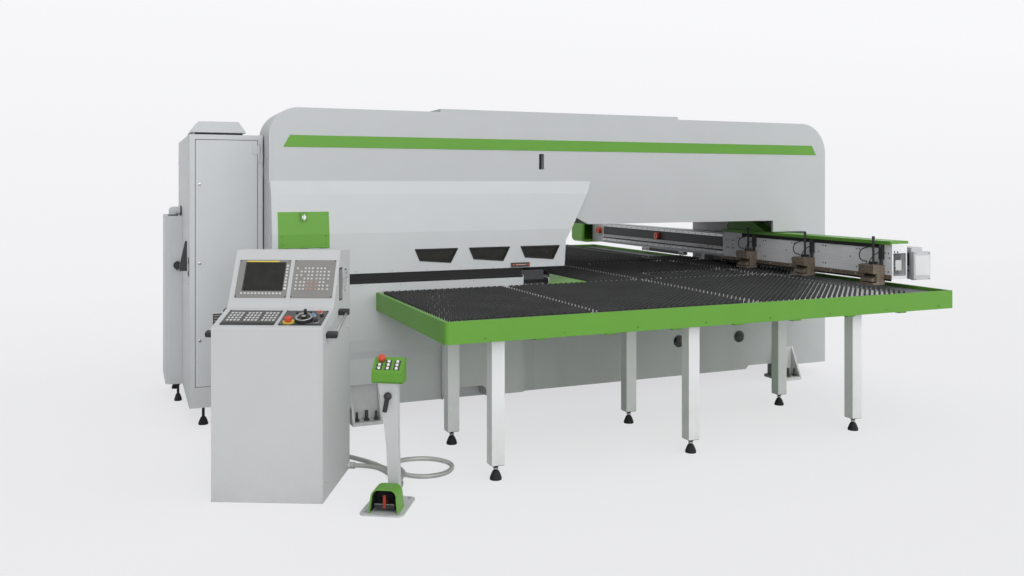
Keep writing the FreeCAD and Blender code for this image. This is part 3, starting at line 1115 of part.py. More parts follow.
def soft_key(x, y):
    return box((x, f"{x} + soft_key"), (y, f"{y} + soft_key"),
               ("panel_thick", "panel_thick + soft_key_rise"))


def build_screen():
    """The screen's panel with a row of soft keys under it and a column beside it."""
    left, low = "screen_panel_left", "screen_panel_bottom"
    plate = box((left, f"{left} + screen_panel_width"), (low, f"{low} + panel_height"), ("0", "panel_thick"))
    wide = (f"{left} + screen_left", f"{left} + screen_left + screen_width")
    tall = (f"{low} + screen_bottom", f"{low} + screen_bottom + screen_height")
    window = box(wide, tall, ("panel_thick - glass_sink", "panel_thick + 1"))
    keys = [soft_key(f"{left} + soft_row_left + {index} * soft_row_pitch", f"{low} + soft_row_bottom")
            for index in range(int(num("soft_row_count")))]
    keys += [soft_key(f"{left} + soft_column_left",
                      f"{low} + soft_column_bottom + {index} * soft_column_pitch")
             for index in range(int(num("soft_column_count")))]
    node("screen_panel", fuse(cut(plate, window), *keys), screen_frame())
    screen = box(wide, tall, ("panel_thick - glass_sink", "panel_thick - glass_sink + glass_plate"))
    node("screen_glass", group(screen), screen_frame())


def build_keyboard():
    left, low = "key_panel_left", "screen_panel_bottom"
    keyboard = [box((left, f"{left} + key_panel_width"), (low, f"{low} + panel_height"),
                    ("0", "panel_thick"))]
    for row in range(int(num("key_rows"))):
        for column in range(int(num("key_columns"))):
            x = f"{left} + key_first_x + {column} * key_pitch"
            y = f"{low} + key_first_y + {row} * key_pitch"
            keyboard.append(box((x, f"{x} + key_side"), (y, f"{y} + key_side"),
                                ("panel_thick - 1", "panel_thick + key_rise")))
    node("keyboard_panel", fuse(*keyboard), screen_frame())


def build_desk():
    """The desk's ridged key strip and the operator panel with its bored control seats."""
    depth = ("desk_panel_front", "desk_panel_front + desk_panel_depth")
    ridge_depth = (f"{depth[0]} + desk_ridge_front", f"{depth[1]} - desk_ridge_back")
    keys = [box(("desk_keys_left", "desk_keys_left + desk_keys_width"), depth, ("0", "panel_thick"))]
    for column in range(int(num("desk_ridge_count"))):
        x = f"desk_keys_left + desk_ridge_left + {column} * desk_ridge_pitch"
        keys.append(box((x, f"{x} + desk_ridge"), ridge_depth,
                        ("panel_thick - 1", "panel_thick + soft_key_rise")))
    node("desk_keys", fuse(*keys), desk_frame())
    plate = box(("operator_left", "operator_left + operator_width"), depth, ("0", "panel_thick"))
    collar = rod("z", ESTOP, "estop_ring", ("panel_thick - 1", RING_TOP))
    seats = ((ESTOP, "estop_stem"), (WHEEL, "wheel_hub"), (START, "button_radius"),
             (STOP, "button_radius"), (MODE, "mode_radius"))
    bores = [rod("z", place, f"{radius} + running_gap", ("control_floor", f"{RING_TOP} + 1"))
             for place, radius in seats]
    node("operator_panel", cut(fuse(plate, collar), *bores), desk_frame())
    build_controls()


def build_controls():
    """The controls that move: emergency stop, hand pulse wheel, two buttons and a mode switch."""
    cap_low = f"{RING_TOP} + estop_gap"
    stem = rod("z", ESTOP, "estop_stem", (f"{RING_TOP} - estop_seat", f"{cap_low} + 2"))
    cap = rod("z", ESTOP, "estop_radius", (cap_low, f"{cap_low} + estop_cap"))
    node("console_estop", fuse(stem, cap), desk_frame())
    low = "panel_thick + wheel_lift"
    top = f"{low} + wheel_thick"
    wheel = rod("z", WHEEL, "wheel_radius", (low, top))
    dish = rod("z", WHEEL, "wheel_radius - wheel_rim", (f"{top} - wheel_dish", f"{top} + 1"))
    hub = rod("z", WHEEL, "wheel_hub", ("control_floor + 1", f"{top} + wheel_hub_rise"))
    crank = rod("z", ("wheel_x", "wheel_y + crank_reach"), "crank_radius",
                (f"{top} - wheel_dish - 1", f"{top} + crank_height"))
    node("handwheel", fuse(cut(wheel, dish), hub, crank), desk_frame())
    for label, place in (("start_button", START), ("stop_button", STOP)):
        button = rod("z", place, "button_radius", ("panel_thick", "panel_thick + button_height"))
        node(label, group(button), desk_frame())
    pointer_low = "panel_thick + mode_height - pointer_height"
    knob = rod("z", MODE, "mode_radius", ("control_floor + 1", f"{pointer_low} + 2"))
    pointer = box(span_of("mode_x", "pointer_width"), span_of("mode_y", "mode_radius * 2"),
                  (pointer_low, "panel_thick + mode_height"))
    node("mode_switch", fuse(knob, pointer), desk_frame())


def build_handles():
    """A tube on two blocks along each side of the desk."""
    bars = []
    for centre, span in (("-handle_out", ("-handle_out - handle_block_over", "0")),
                         ("console_width + handle_out",
                          ("console_width", "console_width + handle_out + handle_block_over"))):
        bars.append(rod("y", (centre, "handle_height"), "handle_radius", ("handle_front", "handle_back")))
        for end in ("handle_front", "handle_back"):
            bars.append(box(span, span_of(end, "handle_block"),
                            span_of("handle_height", "handle_block_height")))
    node("console_handles", fuse(*bars), desk_frame())


# ---------------------------------------------------------------- foot switch stand

def stand_frame():
    return FreeCAD.Placement(Vector(num("stand_x"), num("stand_y"), 0),
                             FreeCAD.Rotation(Z_AXIS, -num("stand_turn")))


def build_stand():
    half_x, half_y = num("plate_width") / 2, num("plate_depth") / 2
    plate = prism("XY", [("-plate_width / 2", "-plate_depth / 2"), ("plate_width / 2", "-plate_depth / 2"),
                         ("plate_width / 2", "plate_depth / 2"), ("-plate_width / 2", "plate_depth / 2")],
                  ("0", "plate_thick"))
    round_edges(plate, "plate_corner", along("z", (-half_x, -half_y), (half_x, -half_y),
                                             (half_x, half_y), (-half_x, half_y)))
    post = prism("XZ", [("-post_foot_left", "plate_thick"), ("post_foot_right", "plate_thick"),
                        ("post_waist_right", "post_waist"), ("post_top_right", "post_top"),
                        ("-post_top_left", "post_top"), ("-post_head_left", "post_head"),
                        ("-post_waist_left", "post_waist")],
                 span_of("post_row", "post_depth"))
    bore = rod("y", ("grip_x", "grip_height"), "grip_rod + running_gap",
               ("post_row - post_depth / 2 - 1", "post_row - post_depth / 2 + grip_socket"))
    sockets = [rod("y", ("socket_x", height), "gland_radius",
                   ("post_row + post_depth / 2 - 1", "post_row + post_depth / 2 + gland_length"))
               for height in ("socket_low", "socket_high")]
    node("foot_stand", cut(fuse(plate, post, *sockets), bore), stand_frame())
    build_box()
    build_pedal()


def box_slope():
    """Foot and top of the box's sloping face, as depth and height."""
    near = num("post_row") - num("box_depth") / 2
    far = near + num("box_depth") * num("box_slope_share")
    return (near, num("box_front_top")), (far, num("box_back_top"))


def box_slope_frame():
    near, far = box_slope()
    tilt = math.degrees(math.atan2(far[1] - near[1], far[0] - near[0]))
    return stand_frame().multiply(FreeCAD.Placement(Vector(0, near[0], near[1]),
                                                    FreeCAD.Rotation(X_AXIS, tilt)))


def build_box():
    front, back = "(post_row - box_depth / 2)", "(post_row + box_depth / 2)"
    shell = prism("YZ", [(f"{front} + box_bevel", "box_bottom"), (back, "box_bottom"),
                         (back, "box_back_top"), (f"{front} + box_depth * box_slope_share", "box_back_top"),
                         (front, "box_front_top"), (front, "box_bottom + box_bevel")],
                  span_of("-box_shift", "box_width"))
    stop_spot = ("-box_shift - stand_button_pitch + stand_stop_shift",
                 "stand_button_first + stand_stop_rows * stand_button_row")
    well = group(rod("z", stop_spot, "estop_stem + running_gap", ("-stand_well", "30")))
    buttons = []
    for column in range(3):
        for row in range(3):
            if column == 0 and row == 2:
                continue
            spot = (f"-box_shift + ({column} - 1) * stand_button_pitch",
                    f"stand_button_first + {row} * stand_button_row")
            buttons.append(rod("z", spot, "stand_button_radius", ("-2", "stand_button_rise")))
    caps = group(*buttons)
    near, far = box_slope()
    tilt = math.degrees(math.atan2(far[1] - near[1], far[0] - near[0]))
    for tipped in (well, caps):
        tipped.Placement = FreeCAD.Placement(Vector(0, near[0], near[1]), FreeCAD.Rotation(X_AXIS, tilt))
    node("stand_box", fuse(cut(shell, well), caps), stand_frame())
    stem = rod("z", stop_spot, "estop_stem", ("-stand_stem", "stand_cap_low + 2"))
    cap = rod("z", stop_spot, "estop_radius", ("stand_cap_low", "stand_cap_low + estop_cap"))
    node("stand_estop", fuse(stem, cap), box_slope_frame())


def build_pedal():
    """A foot pedal on an axle under a rounded guard on the plate."""
    front = "-guard_front"
    low, high = "plate_thick", "plate_thick + guard_height"
    back = f"({front} + guard_depth)"
    left, right = "guard_shift - guard_width / 2", "guard_shift + guard_width / 2"
    outer = prism("XZ", [(left, low), (right, low), (f"{right} - guard_lean", high),
                         (f"{left} + guard_lean", high)], (front, back))
    top = num("plate_thick") + num("guard_height")
    half = num("guard_width") / 2 - num("guard_lean")
    sides = (num("guard_shift") - half, num("guard_shift") + half)
    round_edges(outer, "guard_corner", along("y", (sides[0], top), (sides[1], top)))
    wall = num("guard_wall")
    inner = prism("XZ", [(f"{left} + guard_wall", f"{low} - 1"), (f"{right} - guard_wall", f"{low} - 1"),
                         (f"{right} - guard_lean - guard_wall", f"{high} - guard_wall"),
                         (f"{left} + guard_lean + guard_wall", f"{high} - guard_wall")],
                  (f"{front} - 1", f"{back} - guard_wall"))
    round_edges(inner, "guard_corner - guard_wall", along("y", (sides[0] + wall, top - wall),
                                                          (sides[1] - wall, top - wall)))
    rake = prism("YZ", [(f"{front} - 1", f"{low} + guard_rake_low"),
                        (f"{front} + guard_rake_run", f"{high} + 1"),
                        (f"{front} - 1", f"{high} + 1")], ("-guard_width", "guard_width"))
    axle_row, axle_height = f"({back} - 30)", "(plate_thick + pedal_lift)"
    ears = [box(span_of(f"guard_shift + {side} * ((pedal_width + ear_width) / 2 + ear_gap)", "ear_width"),
                (f"{axle_row} - ear_reach", f"{back} - guard_wall"), (low, f"{axle_height} + ear_reach"))
            for side in (-1, 1)]
    bores = rod("x", (axle_row, axle_height), "pedal_axle + running_gap",
                span_of("guard_shift", "pedal_width + 2 * (ear_width + ear_gap + 1)"))
    node("pedal_guard", cut(fuse(cut(outer, inner, rake), *ears), bores), stand_frame())
    tread = box(span_of("guard_shift", "pedal_width"),
                (f"{axle_row} - pedal_length", f"{axle_row} + pedal_heel"),
                span_of(axle_height, "pedal_thick"))
    axle = rod("x", (axle_row, axle_height), "pedal_axle",
               span_of("guard_shift", "pedal_width + 2 * pedal_axle_over"))
    bar = box(span_of("guard_shift", "pedal_rib"),
              (f"{axle_row} - pedal_length + pedal_rib_front", f"{axle_row} - pedal_rib_back"),
              (axle_height, f"{axle_height} + pedal_thick / 2 + pedal_rib_rise"))
    node("pedal", fuse(tread, axle, bar), stand_frame())
    build_grip()


def build_grip():
    """The hand lever on the post: a spindle, a round boss and a stick that hangs from it."""
    face = "(post_row - post_depth / 2)"
    spindle = rod("y", ("0", "0"), "grip_rod", ("-grip_out", "grip_socket - grip_end_gap"))
    ball = doc.addObject("Part::Sphere", "ball")
    bind(ball, "Radius", "grip_radius")
    move(ball, y="-grip_out")
    stick = rod("z", ("0", "-grip_out"), "grip_rod + grip_swell", ("-grip_length", "0"))
    lever = fuse(spindle, ball, stick)
    lever.Placement = FreeCAD.Placement(Vector(), FreeCAD.Rotation(Y_AXIS, num("grip_tilt")))
    move(lever, "grip_x", face, "grip_height")
    node("stand_lever", group(lever), stand_frame())


# ---------------------------------------------------------------- conduits

# Corners on the floor between the glands, in world millimetres: x, y and the centre's height.
LONG_ROUTE = [(-2392, -1507, 14), (-2270, -1550, 14), (-2187, -1712, 14), (-2094, -1870, 14),
              (-2036, -2049, 14), (-1924, -2261, 14), (-1732, -2268, 14), (-1630, -2105, 14),
              (-1720, -1935, 14), (-1912, -1928, 26), (-2018, -2098, 56), (-2005, -2235, 64)]
SHORT_ROUTE = [(-2050, -2090, 14), (-2052, -2225, 14)]


def gland_places():
    """Where the two conduits leave the console's back and side, in its own frame."""
    return (("back_gland", "console_depth", "gland_height"),
            ("console_width", "side_gland", "gland_height"))


def gland_run(frame, place, way, length):
    """A gland's mouth and the first corner straight out of it."""
    direction = frame.Rotation.multVec(way)
    mouth = frame.multVec(place) + direction * num("gland_length")
    return mouth, mouth + direction * length


def tube(corners, radius):
    """A round tube along straight runs joined by tangent arcs."""
    edges = []
    start = corners[0]
    bends = []
    for before, corner, after in zip(corners, corners[1:], corners[2:]):
        back, ahead = before - corner, after - corner
        half_turn = (math.pi - back.getAngle(ahead)) / 2
        reach = 0.45 * min(back.Length, ahead.Length)
        bends.append(reach / math.tan(half_turn))
        back.normalize()
        ahead.normalize()
        first, last = corner + back * reach, corner + ahead * reach
        bisector = (back + ahead).normalize()
        centre = corner + bisector * (bends[-1] / math.cos(half_turn))
        middle = centre - bisector * bends[-1]
        edges.append(Part.LineSegment(start, first).toShape())
        edges.append(Part.Arc(first, middle, last).toShape())
        start = last
    edges.append(Part.LineSegment(start, corners[-1]).toShape())
    path = Part.Wire(edges)
    ring_shape = Part.Wire(Part.makeCircle(radius, corners[0], corners[1] - corners[0]))
    solid = path.makePipeShell([ring_shape], True, False)
    return solid, path.Length, min(bends)


def build_conduits():
    back, side = gland_places()
    console, stand = console_frame(), stand_frame()
    socket_y = num("post_row") + num("post_depth") / 2
    plan = (("conduit_long", [num(name) for name in back], Y_AXIS, 130, LONG_ROUTE, "socket_high", 150),
            ("conduit_short", [num(name) for name in side], X_AXIS, 120, SHORT_ROUTE, "socket_low", 140))
    radius = num("conduit_diameter") / 2
    for label, place, way, first_run, route, socket, last_run in plan:
        mouth, first = gland_run(console, Vector(*place), way, first_run)
        end, last = gland_run(stand, Vector(num("socket_x"), socket_y, num(socket)), Y_AXIS, last_run)
        corners = [mouth, first] + [Vector(*spot) for spot in route] + [last, end]
        solid, length, tightest = tube(corners, radius)
        feature = doc.addObject("Part::Feature", label)
        feature.Shape = solid
        node(label, feature)
        expected = math.pi * radius ** 2 * length
        print(f"{label}: length {length:.0f} mm, tightest radius {tightest:.0f} mm,"
              f" volume {solid.Volume / expected:.4f} of the route's")
        print([tuple(round(value, 1) for value in corner) for corner in corners])


def check_shape(thing):
    if "Invalid" in thing.State or "Error" in thing.State:
        raise RuntimeError(f"{thing.Label} failed: {thing.State}")


def build_all():
    build_frame()
    build_roof()
    build_stripe()
    build_hoods()
    build_rear_covers()
    build_hatch()
    build_skirt()
    build_sensor()
    build_turrets()
    build_ram()
    build_tables()
    build_cross_slide()
    build_beam()
    build_beam_fittings()
    build_carriage()
    build_clamps()
    build_cabinet()
    build_side_cabinet()
    build_console()
    build_stand()
    build_conduits()


def export_all():
    doc.recompute()
    for thing in doc.Objects:
        check_shape(thing)
    os.makedirs("parts", exist_ok=True)
    for thing in nodes:
        shape = thing.Shape
        if shape.isNull() or not shape.isValid():
            raise RuntimeError(f"{thing.Label} has no valid shape")
        shape.exportStep(os.path.join("parts", thing.Label + ".step"))
    print(len(nodes), "sub-parts")


build_all()
export_all()
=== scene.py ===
"""Turret punch press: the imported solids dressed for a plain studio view."""
import json
import logging
import math
from contextlib import contextmanager
from dataclasses import dataclass
from enum import Enum
from itertools import product
from typing import Iterable, Iterator, Optional, Sequence

import bmesh
import bpy
import numpy as np
from mathutils import Matrix, Vector


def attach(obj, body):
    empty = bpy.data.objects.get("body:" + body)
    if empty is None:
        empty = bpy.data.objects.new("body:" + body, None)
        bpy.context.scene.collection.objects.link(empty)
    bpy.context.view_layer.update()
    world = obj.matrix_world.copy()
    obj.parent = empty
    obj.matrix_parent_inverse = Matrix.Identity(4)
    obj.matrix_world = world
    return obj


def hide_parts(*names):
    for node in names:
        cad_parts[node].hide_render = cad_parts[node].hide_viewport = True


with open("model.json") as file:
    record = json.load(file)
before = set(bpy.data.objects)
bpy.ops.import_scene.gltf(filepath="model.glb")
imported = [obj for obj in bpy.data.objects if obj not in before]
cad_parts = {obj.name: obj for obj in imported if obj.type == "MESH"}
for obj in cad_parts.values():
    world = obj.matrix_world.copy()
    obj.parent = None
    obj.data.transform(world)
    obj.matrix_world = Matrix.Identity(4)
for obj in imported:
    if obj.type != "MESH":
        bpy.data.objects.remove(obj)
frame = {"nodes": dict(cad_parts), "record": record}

LOG = logging.getLogger("punch_press")
Point = Sequence[float]
Span = tuple[float, float]
Colour = tuple[float, float, float]
Socket = bpy.types.NodeSocket
UP, FRONT, BACK, LEFT, RIGHT = (0, 0, 1), (0, -1, 0), (0, 1, 0), (-1, 0, 0), (1, 0, 0)
SIDES = (-1, 1)


class Rides(str, Enum):
    """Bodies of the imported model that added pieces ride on."""

    MACHINE = "machine"
    BRIDGE = "bridge"
    CARRIAGE = "carriage"
    HATCH = "hatch"
    DOOR = "door"
    WHEEL = "wheel"
    ESTOP = "estop"
    FOOT_ESTOP = "foot_estop"
    PEDAL = "foot_pedal"


class Slot(str, Enum):
    """Material slots of the record."""

    BODY = "body_paint"
    CONSOLE = "console_paint"
    GREEN = "green_paint"
    DARK = "dark_paint"
    PANEL = "panel_grey"
    STEEL = "bare_steel"
    BLACKED = "dark_steel"
    ALUMINIUM = "bright_aluminium"
    BRUSH = "brush"
    PLASTIC = "black_plastic"
    RUBBER = "rubber"
    RED = "red_plastic"
    SCREEN = "screen"
    WINDOW = "window"
    SENSOR = "sensor"
    CONDUIT = "conduit"


# ---------------------------------------------------------------- shader groups


class Wiring:
    """Adds and links nodes of one shader tree."""

    def __init__(self, tree: bpy.types.NodeTree) -> None:
        """Keep the tree that nodes are added to."""
        self.tree = tree

    def plug(self, target: Socket, value: object) -> None:
        """Join a socket to an input, or set the input's own value."""
        if isinstance(value, Socket):
            self.tree.links.new(value, target)
        else:
            target.default_value = (*value, 1.0) if target.type == "RGBA" and len(value) == 3 else value

    def fill(self, node: bpy.types.Node, **values: object) -> None:
        """Set a node's properties, or its inputs with spaces written as underscores."""
        for name, value in values.items():
            if hasattr(node, name):
                setattr(node, name, value)
            else:
                self.plug(node.inputs[name.replace("_", " ")], value)

    def add(self, kind: str, **values: object) -> bpy.types.Node:
        """Add a node of a kind and fill it."""
        made = self.tree.nodes.new("ShaderNode" + kind)
        self.fill(made, **values)
        return made

    def math(self, operation: str, first: object, second: object, clamp: bool = False) -> Socket:
        """Work out one number from two.

        Args:
            operation: The math node's operation.
            first: Socket or value.
            second: Socket or value.
            clamp: Whether the result is kept between 0 and 1.

        Returns:
            The result's socket.
        """
        made = self.add("Math", operation=operation, use_clamp=clamp)
        self.plug(made.inputs[0], first)
        self.plug(made.inputs[1], second)
        return made.outputs[0]

    def place(self) -> Socket:
        """Return the object coordinates."""
        return self.add("TexCoord").outputs["Object"]

    def noise(self, place: Socket, **values: object) -> Socket:
        """Return noise that is read at a place."""
        return self.add("TexNoise", Vector=place, **values).outputs["Fac"]

    def blend(self, mask: Socket, first: object, second: object) -> Socket:
        """Mix two colours by a mask.

        Args:
            mask: Factor from 0 for the first colour to 1 for the second.
            first: Colour socket or value.
            second: Colour socket or value.

        Returns:
            The mixed colour's socket.
        """
        mixer = self.add("Mix", data_type="RGBA")
        for index, value in ((0, mask), (6, first), (7, second)):
            self.plug(mixer.inputs[index], value)
        return mixer.outputs[2]

    def fit(self, value: Socket, source: Span, target: Span) -> Socket:
        """Map a value from a source range to a target range and hold it there."""
        return self.add("MapRange", clamp=True, Value=value, From_Min=source[0], From_Max=source[1],
                        To_Min=target[0], To_Max=target[1]).outputs["Result"]

    def wander(self, colour: Socket, noise: Socket, amount: Socket) -> Socket:
        """Return a colour that gets lighter and darker with a noise, by an amount."""
        swing = self.math("MULTIPLY", self.fit(noise, (0.3, 0.7), (-1.0, 1.0)), amount)
        tone = self.add("VectorMath", operation="SCALE", Scale=self.math("ADD", swing, 1.0))
        self.plug(tone.inputs[0], colour)
        return tone.outputs[0]


def new_group(name: str, inputs: dict[str, object], *outputs: str) -> tuple[Wiring, dict, dict]:
    """Start a shader group with named sockets.

    Args:
        name: The group's name.
        inputs: Input names with their default values; a tuple makes a colour.
        *outputs: Output names.

    Returns:
        Its wiring, the sockets that it is given and those that it gives back.
    """
    tree = bpy.data.node_groups.new(name, "ShaderNodeTree")
    kinds = {label: "Color" if isinstance(value, tuple) else "Float" for label, value in inputs.items()}
    for label, value in inputs.items():
        tree.interface.new_socket(name=label, in_out="INPUT",
                                  socket_type="NodeSocket" + kinds[label]).default_value = value
    for label in outputs:
        tree.interface.new_socket(name=label, in_out="OUTPUT",
                                  socket_type="NodeSocketColor" if label == "Colour" else "NodeSocketFloat")
    return Wiring(tree), tree.nodes.new("NodeGroupInput").outputs, tree.nodes.new("NodeGroupOutput").inputs


def surface_grain() -> bpy.types.NodeTree:
    """Build the shared fine grain with a cloudy tone and uneven gloss."""
    work, given, result = new_group(
        "surface_grain", {"Colour": (0.5, 0.5, 0.5, 1.0), "Mottle": 0.05, "Roughness": 0.45, "Size": 300.0},
        "Colour", "Roughness", "Height")
    place = work.place()
    clouds = work.noise(place, Scale=3.1, Detail=5.0, Roughness=0.6)
    fine = work.noise(place, Scale=given["Size"], Detail=3.0, Roughness=0.55)
    uneven = work.fit(clouds, (0.25, 0.75), (-0.07, 0.07))
    work.plug(result["Colour"], work.wander(given["Colour"], clouds, given["Mottle"]))
    work.plug(result["Roughness"], work.math("ADD", uneven, given["Roughness"], clamp=True))
    work.plug(result["Height"], fine)
    return work.tree


def floor_dust() -> bpy.types.NodeTree:
    """Build the shared film of dust and scuffs that gathers near the floor."""
    work, given, result = new_group(
        "floor_dust", {"Colour": (0.5, 0.5, 0.5, 1.0), "Dust": (0.30, 0.29, 0.27, 1.0), "Amount": 0.3,
                       "Reach": 0.5}, "Colour")
    place = work.place()
    height = work.add("SeparateXYZ", Vector=place).outputs["Z"]
    low = work.fit(work.math("DIVIDE", height, given["Reach"]), (0.0, 1.0), (1.0, 0.0))
    patches = work.noise(place, Scale=9.0, Detail=6.0, Roughness=0.7)
    spread = work.math("MULTIPLY", low, work.fit(patches, (0.35, 0.7), (0.2, 1.0)))
    amount = work.math("MULTIPLY", spread, given["Amount"])
    work.plug(result["Colour"], work.blend(amount, given["Colour"], given["Dust"]))
    return work.tree


def tool_lines() -> bpy.types.NodeTree:
    """Build the shared fine lines that milling, grinding or bristles leave along one axis."""
    work, given, result = new_group(
        "tool_lines", {"Colour": (0.5, 0.5, 0.5, 1.0), "Along X": 400.0, "Along Y": 6.0, "Along Z": 400.0,
                       "Contrast": 0.2}, "Colour", "Height")
    stretch = work.add("CombineXYZ", **{axis: given["Along " + axis] for axis in "XYZ"})
    pulled = work.add("VectorMath", operation="MULTIPLY")
    work.plug(pulled.inputs[0], work.place())
    work.plug(pulled.inputs[1], stretch.outputs[0])
    lines = work.noise(pulled.outputs[0], Scale=1.0, Detail=2.0)
    work.plug(result["Colour"], work.wander(given["Colour"], lines, given["Contrast"]))
    work.plug(result["Height"], lines)
    return work.tree


def new_material(name: str, **values: object) -> tuple[bpy.types.Material, Wiring, bpy.types.Node]:
    """Start a material.

    Args:
        name: The material's name.
        **values: Inputs of its principled shader.

    Returns:
        The material, its wiring and its principled shader.
    """
    made = bpy.data.materials.new(name)
    made.use_nodes = True
    work = Wiring(made.node_tree)
    shader = made.node_tree.nodes["Principled BSDF"]
    work.fill(shader, **values)
    return made, work, shader


GRAIN = surface_grain()
DUST = floor_dust()
LINES = tool_lines()


# ---------------------------------------------------------------- finishes


@dataclass(frozen=True)
class Finish:
    """A moulded or plain finish with grain and uneven gloss.

    Attributes:
        name: The material's name.
        colour: Linear base colour.
        roughness: Mean roughness.
        metallic: 0 for paint and plastic, 1 for bare metal.
        size: Grain spots in a metre.
        depth: Height of the grain in metres.
        mottle: How far the tone wanders.
        coat: Clear coat weight.
        shine: Strength of its mirror reflections, 0.5 for common paint.
    """

    name: str
    colour: Colour
    roughness: float = 0.45
    metallic: float = 0.0
    size: float = 320.0
    depth: float = 0.0003
    mottle: float = 0.03
    coat: float = 0.0
    shine: float = 0.4

    def build(self) -> bpy.types.Material:
        """Make the material."""
        made, work, shader = new_material(self.name, Metallic=self.metallic, Coat_Weight=self.coat,
                                          Specular_IOR_Level=self.shine)
        made.diffuse_color = (*self.colour, 1.0)
        grain = work.add("Group", node_tree=GRAIN, Colour=self.colour, Mottle=self.mottle,
                         Roughness=self.roughness, Size=self.size).outputs
        bump = work.add("Bump", Strength=0.35, Distance=self.depth, Height=grain["Height"])
        work.fill(shader, Normal=bump.outputs["Normal"], Roughness=grain["Roughness"])
        work.fill(shader, Base_Color=self.tint(work, grain["Colour"], bump))
        return made

    def tint(self, work: Wiring, colour: Socket, bump: bpy.types.Node) -> Socket:
        """Return the base colour's socket; richer finishes add to it here."""
        return colour


@dataclass(frozen=True)
class Paint(Finish):
    """Satin paint on sheet metal, dusty near the floor.

    Attributes:
        dust: How much dust shows at the floor.
        reach: How far up the dust goes, in metres.
    """

    dust: float = 0.25
    reach: float = 0.45

    def tint(self, work: Wiring, colour: Socket, bump: bpy.types.Node) -> Socket:
        """Lay the floor dust over the paint."""
        film = work.add("Group", node_tree=DUST, Amount=self.dust, Reach=self.reach, Colour=colour)
        return film.outputs["Colour"]


@dataclass(frozen=True)
class Worked(Finish):
    """Metal or bristle with fine lines along one axis.

    Attributes:
        lines: Lines in a metre along x, y and z.
        contrast: How strongly they show.
    """

    lines: tuple[float, float, float] = (400.0, 6.0, 400.0)
    contrast: float = 0.18

    def tint(self, work: Wiring, colour: Socket, bump: bpy.types.Node) -> Socket:
        """Draw the lines into the colour and the bump."""
        marks = work.add("Group", node_tree=LINES, Along_X=self.lines[0], Along_Y=self.lines[1],
                         Along_Z=self.lines[2], Contrast=self.contrast, Colour=colour).outputs
        second = work.add("Bump", Strength=0.25, Distance=self.depth, Height=marks["Height"],
                          Normal=bump.outputs["Normal"])
        work.fill(work.tree.nodes["Principled BSDF"], Normal=second.outputs["Normal"])
        return marks["Colour"]


@dataclass(frozen=True)
class Pane(Finish):
    """Dark glass with a faint smear and a clear glossy face."""

    def tint(self, work: Wiring, colour: Socket, bump: bpy.types.Node) -> Socket:
        """Add faint wiping smears to the glass."""
        smear = work.noise(work.place(), Scale=14.0, Detail=6.0, Distortion=1.2)
        return work.blend(work.fit(smear, (0.45, 0.8), (0.0, 0.25)), colour, (0.06, 0.058, 0.045))


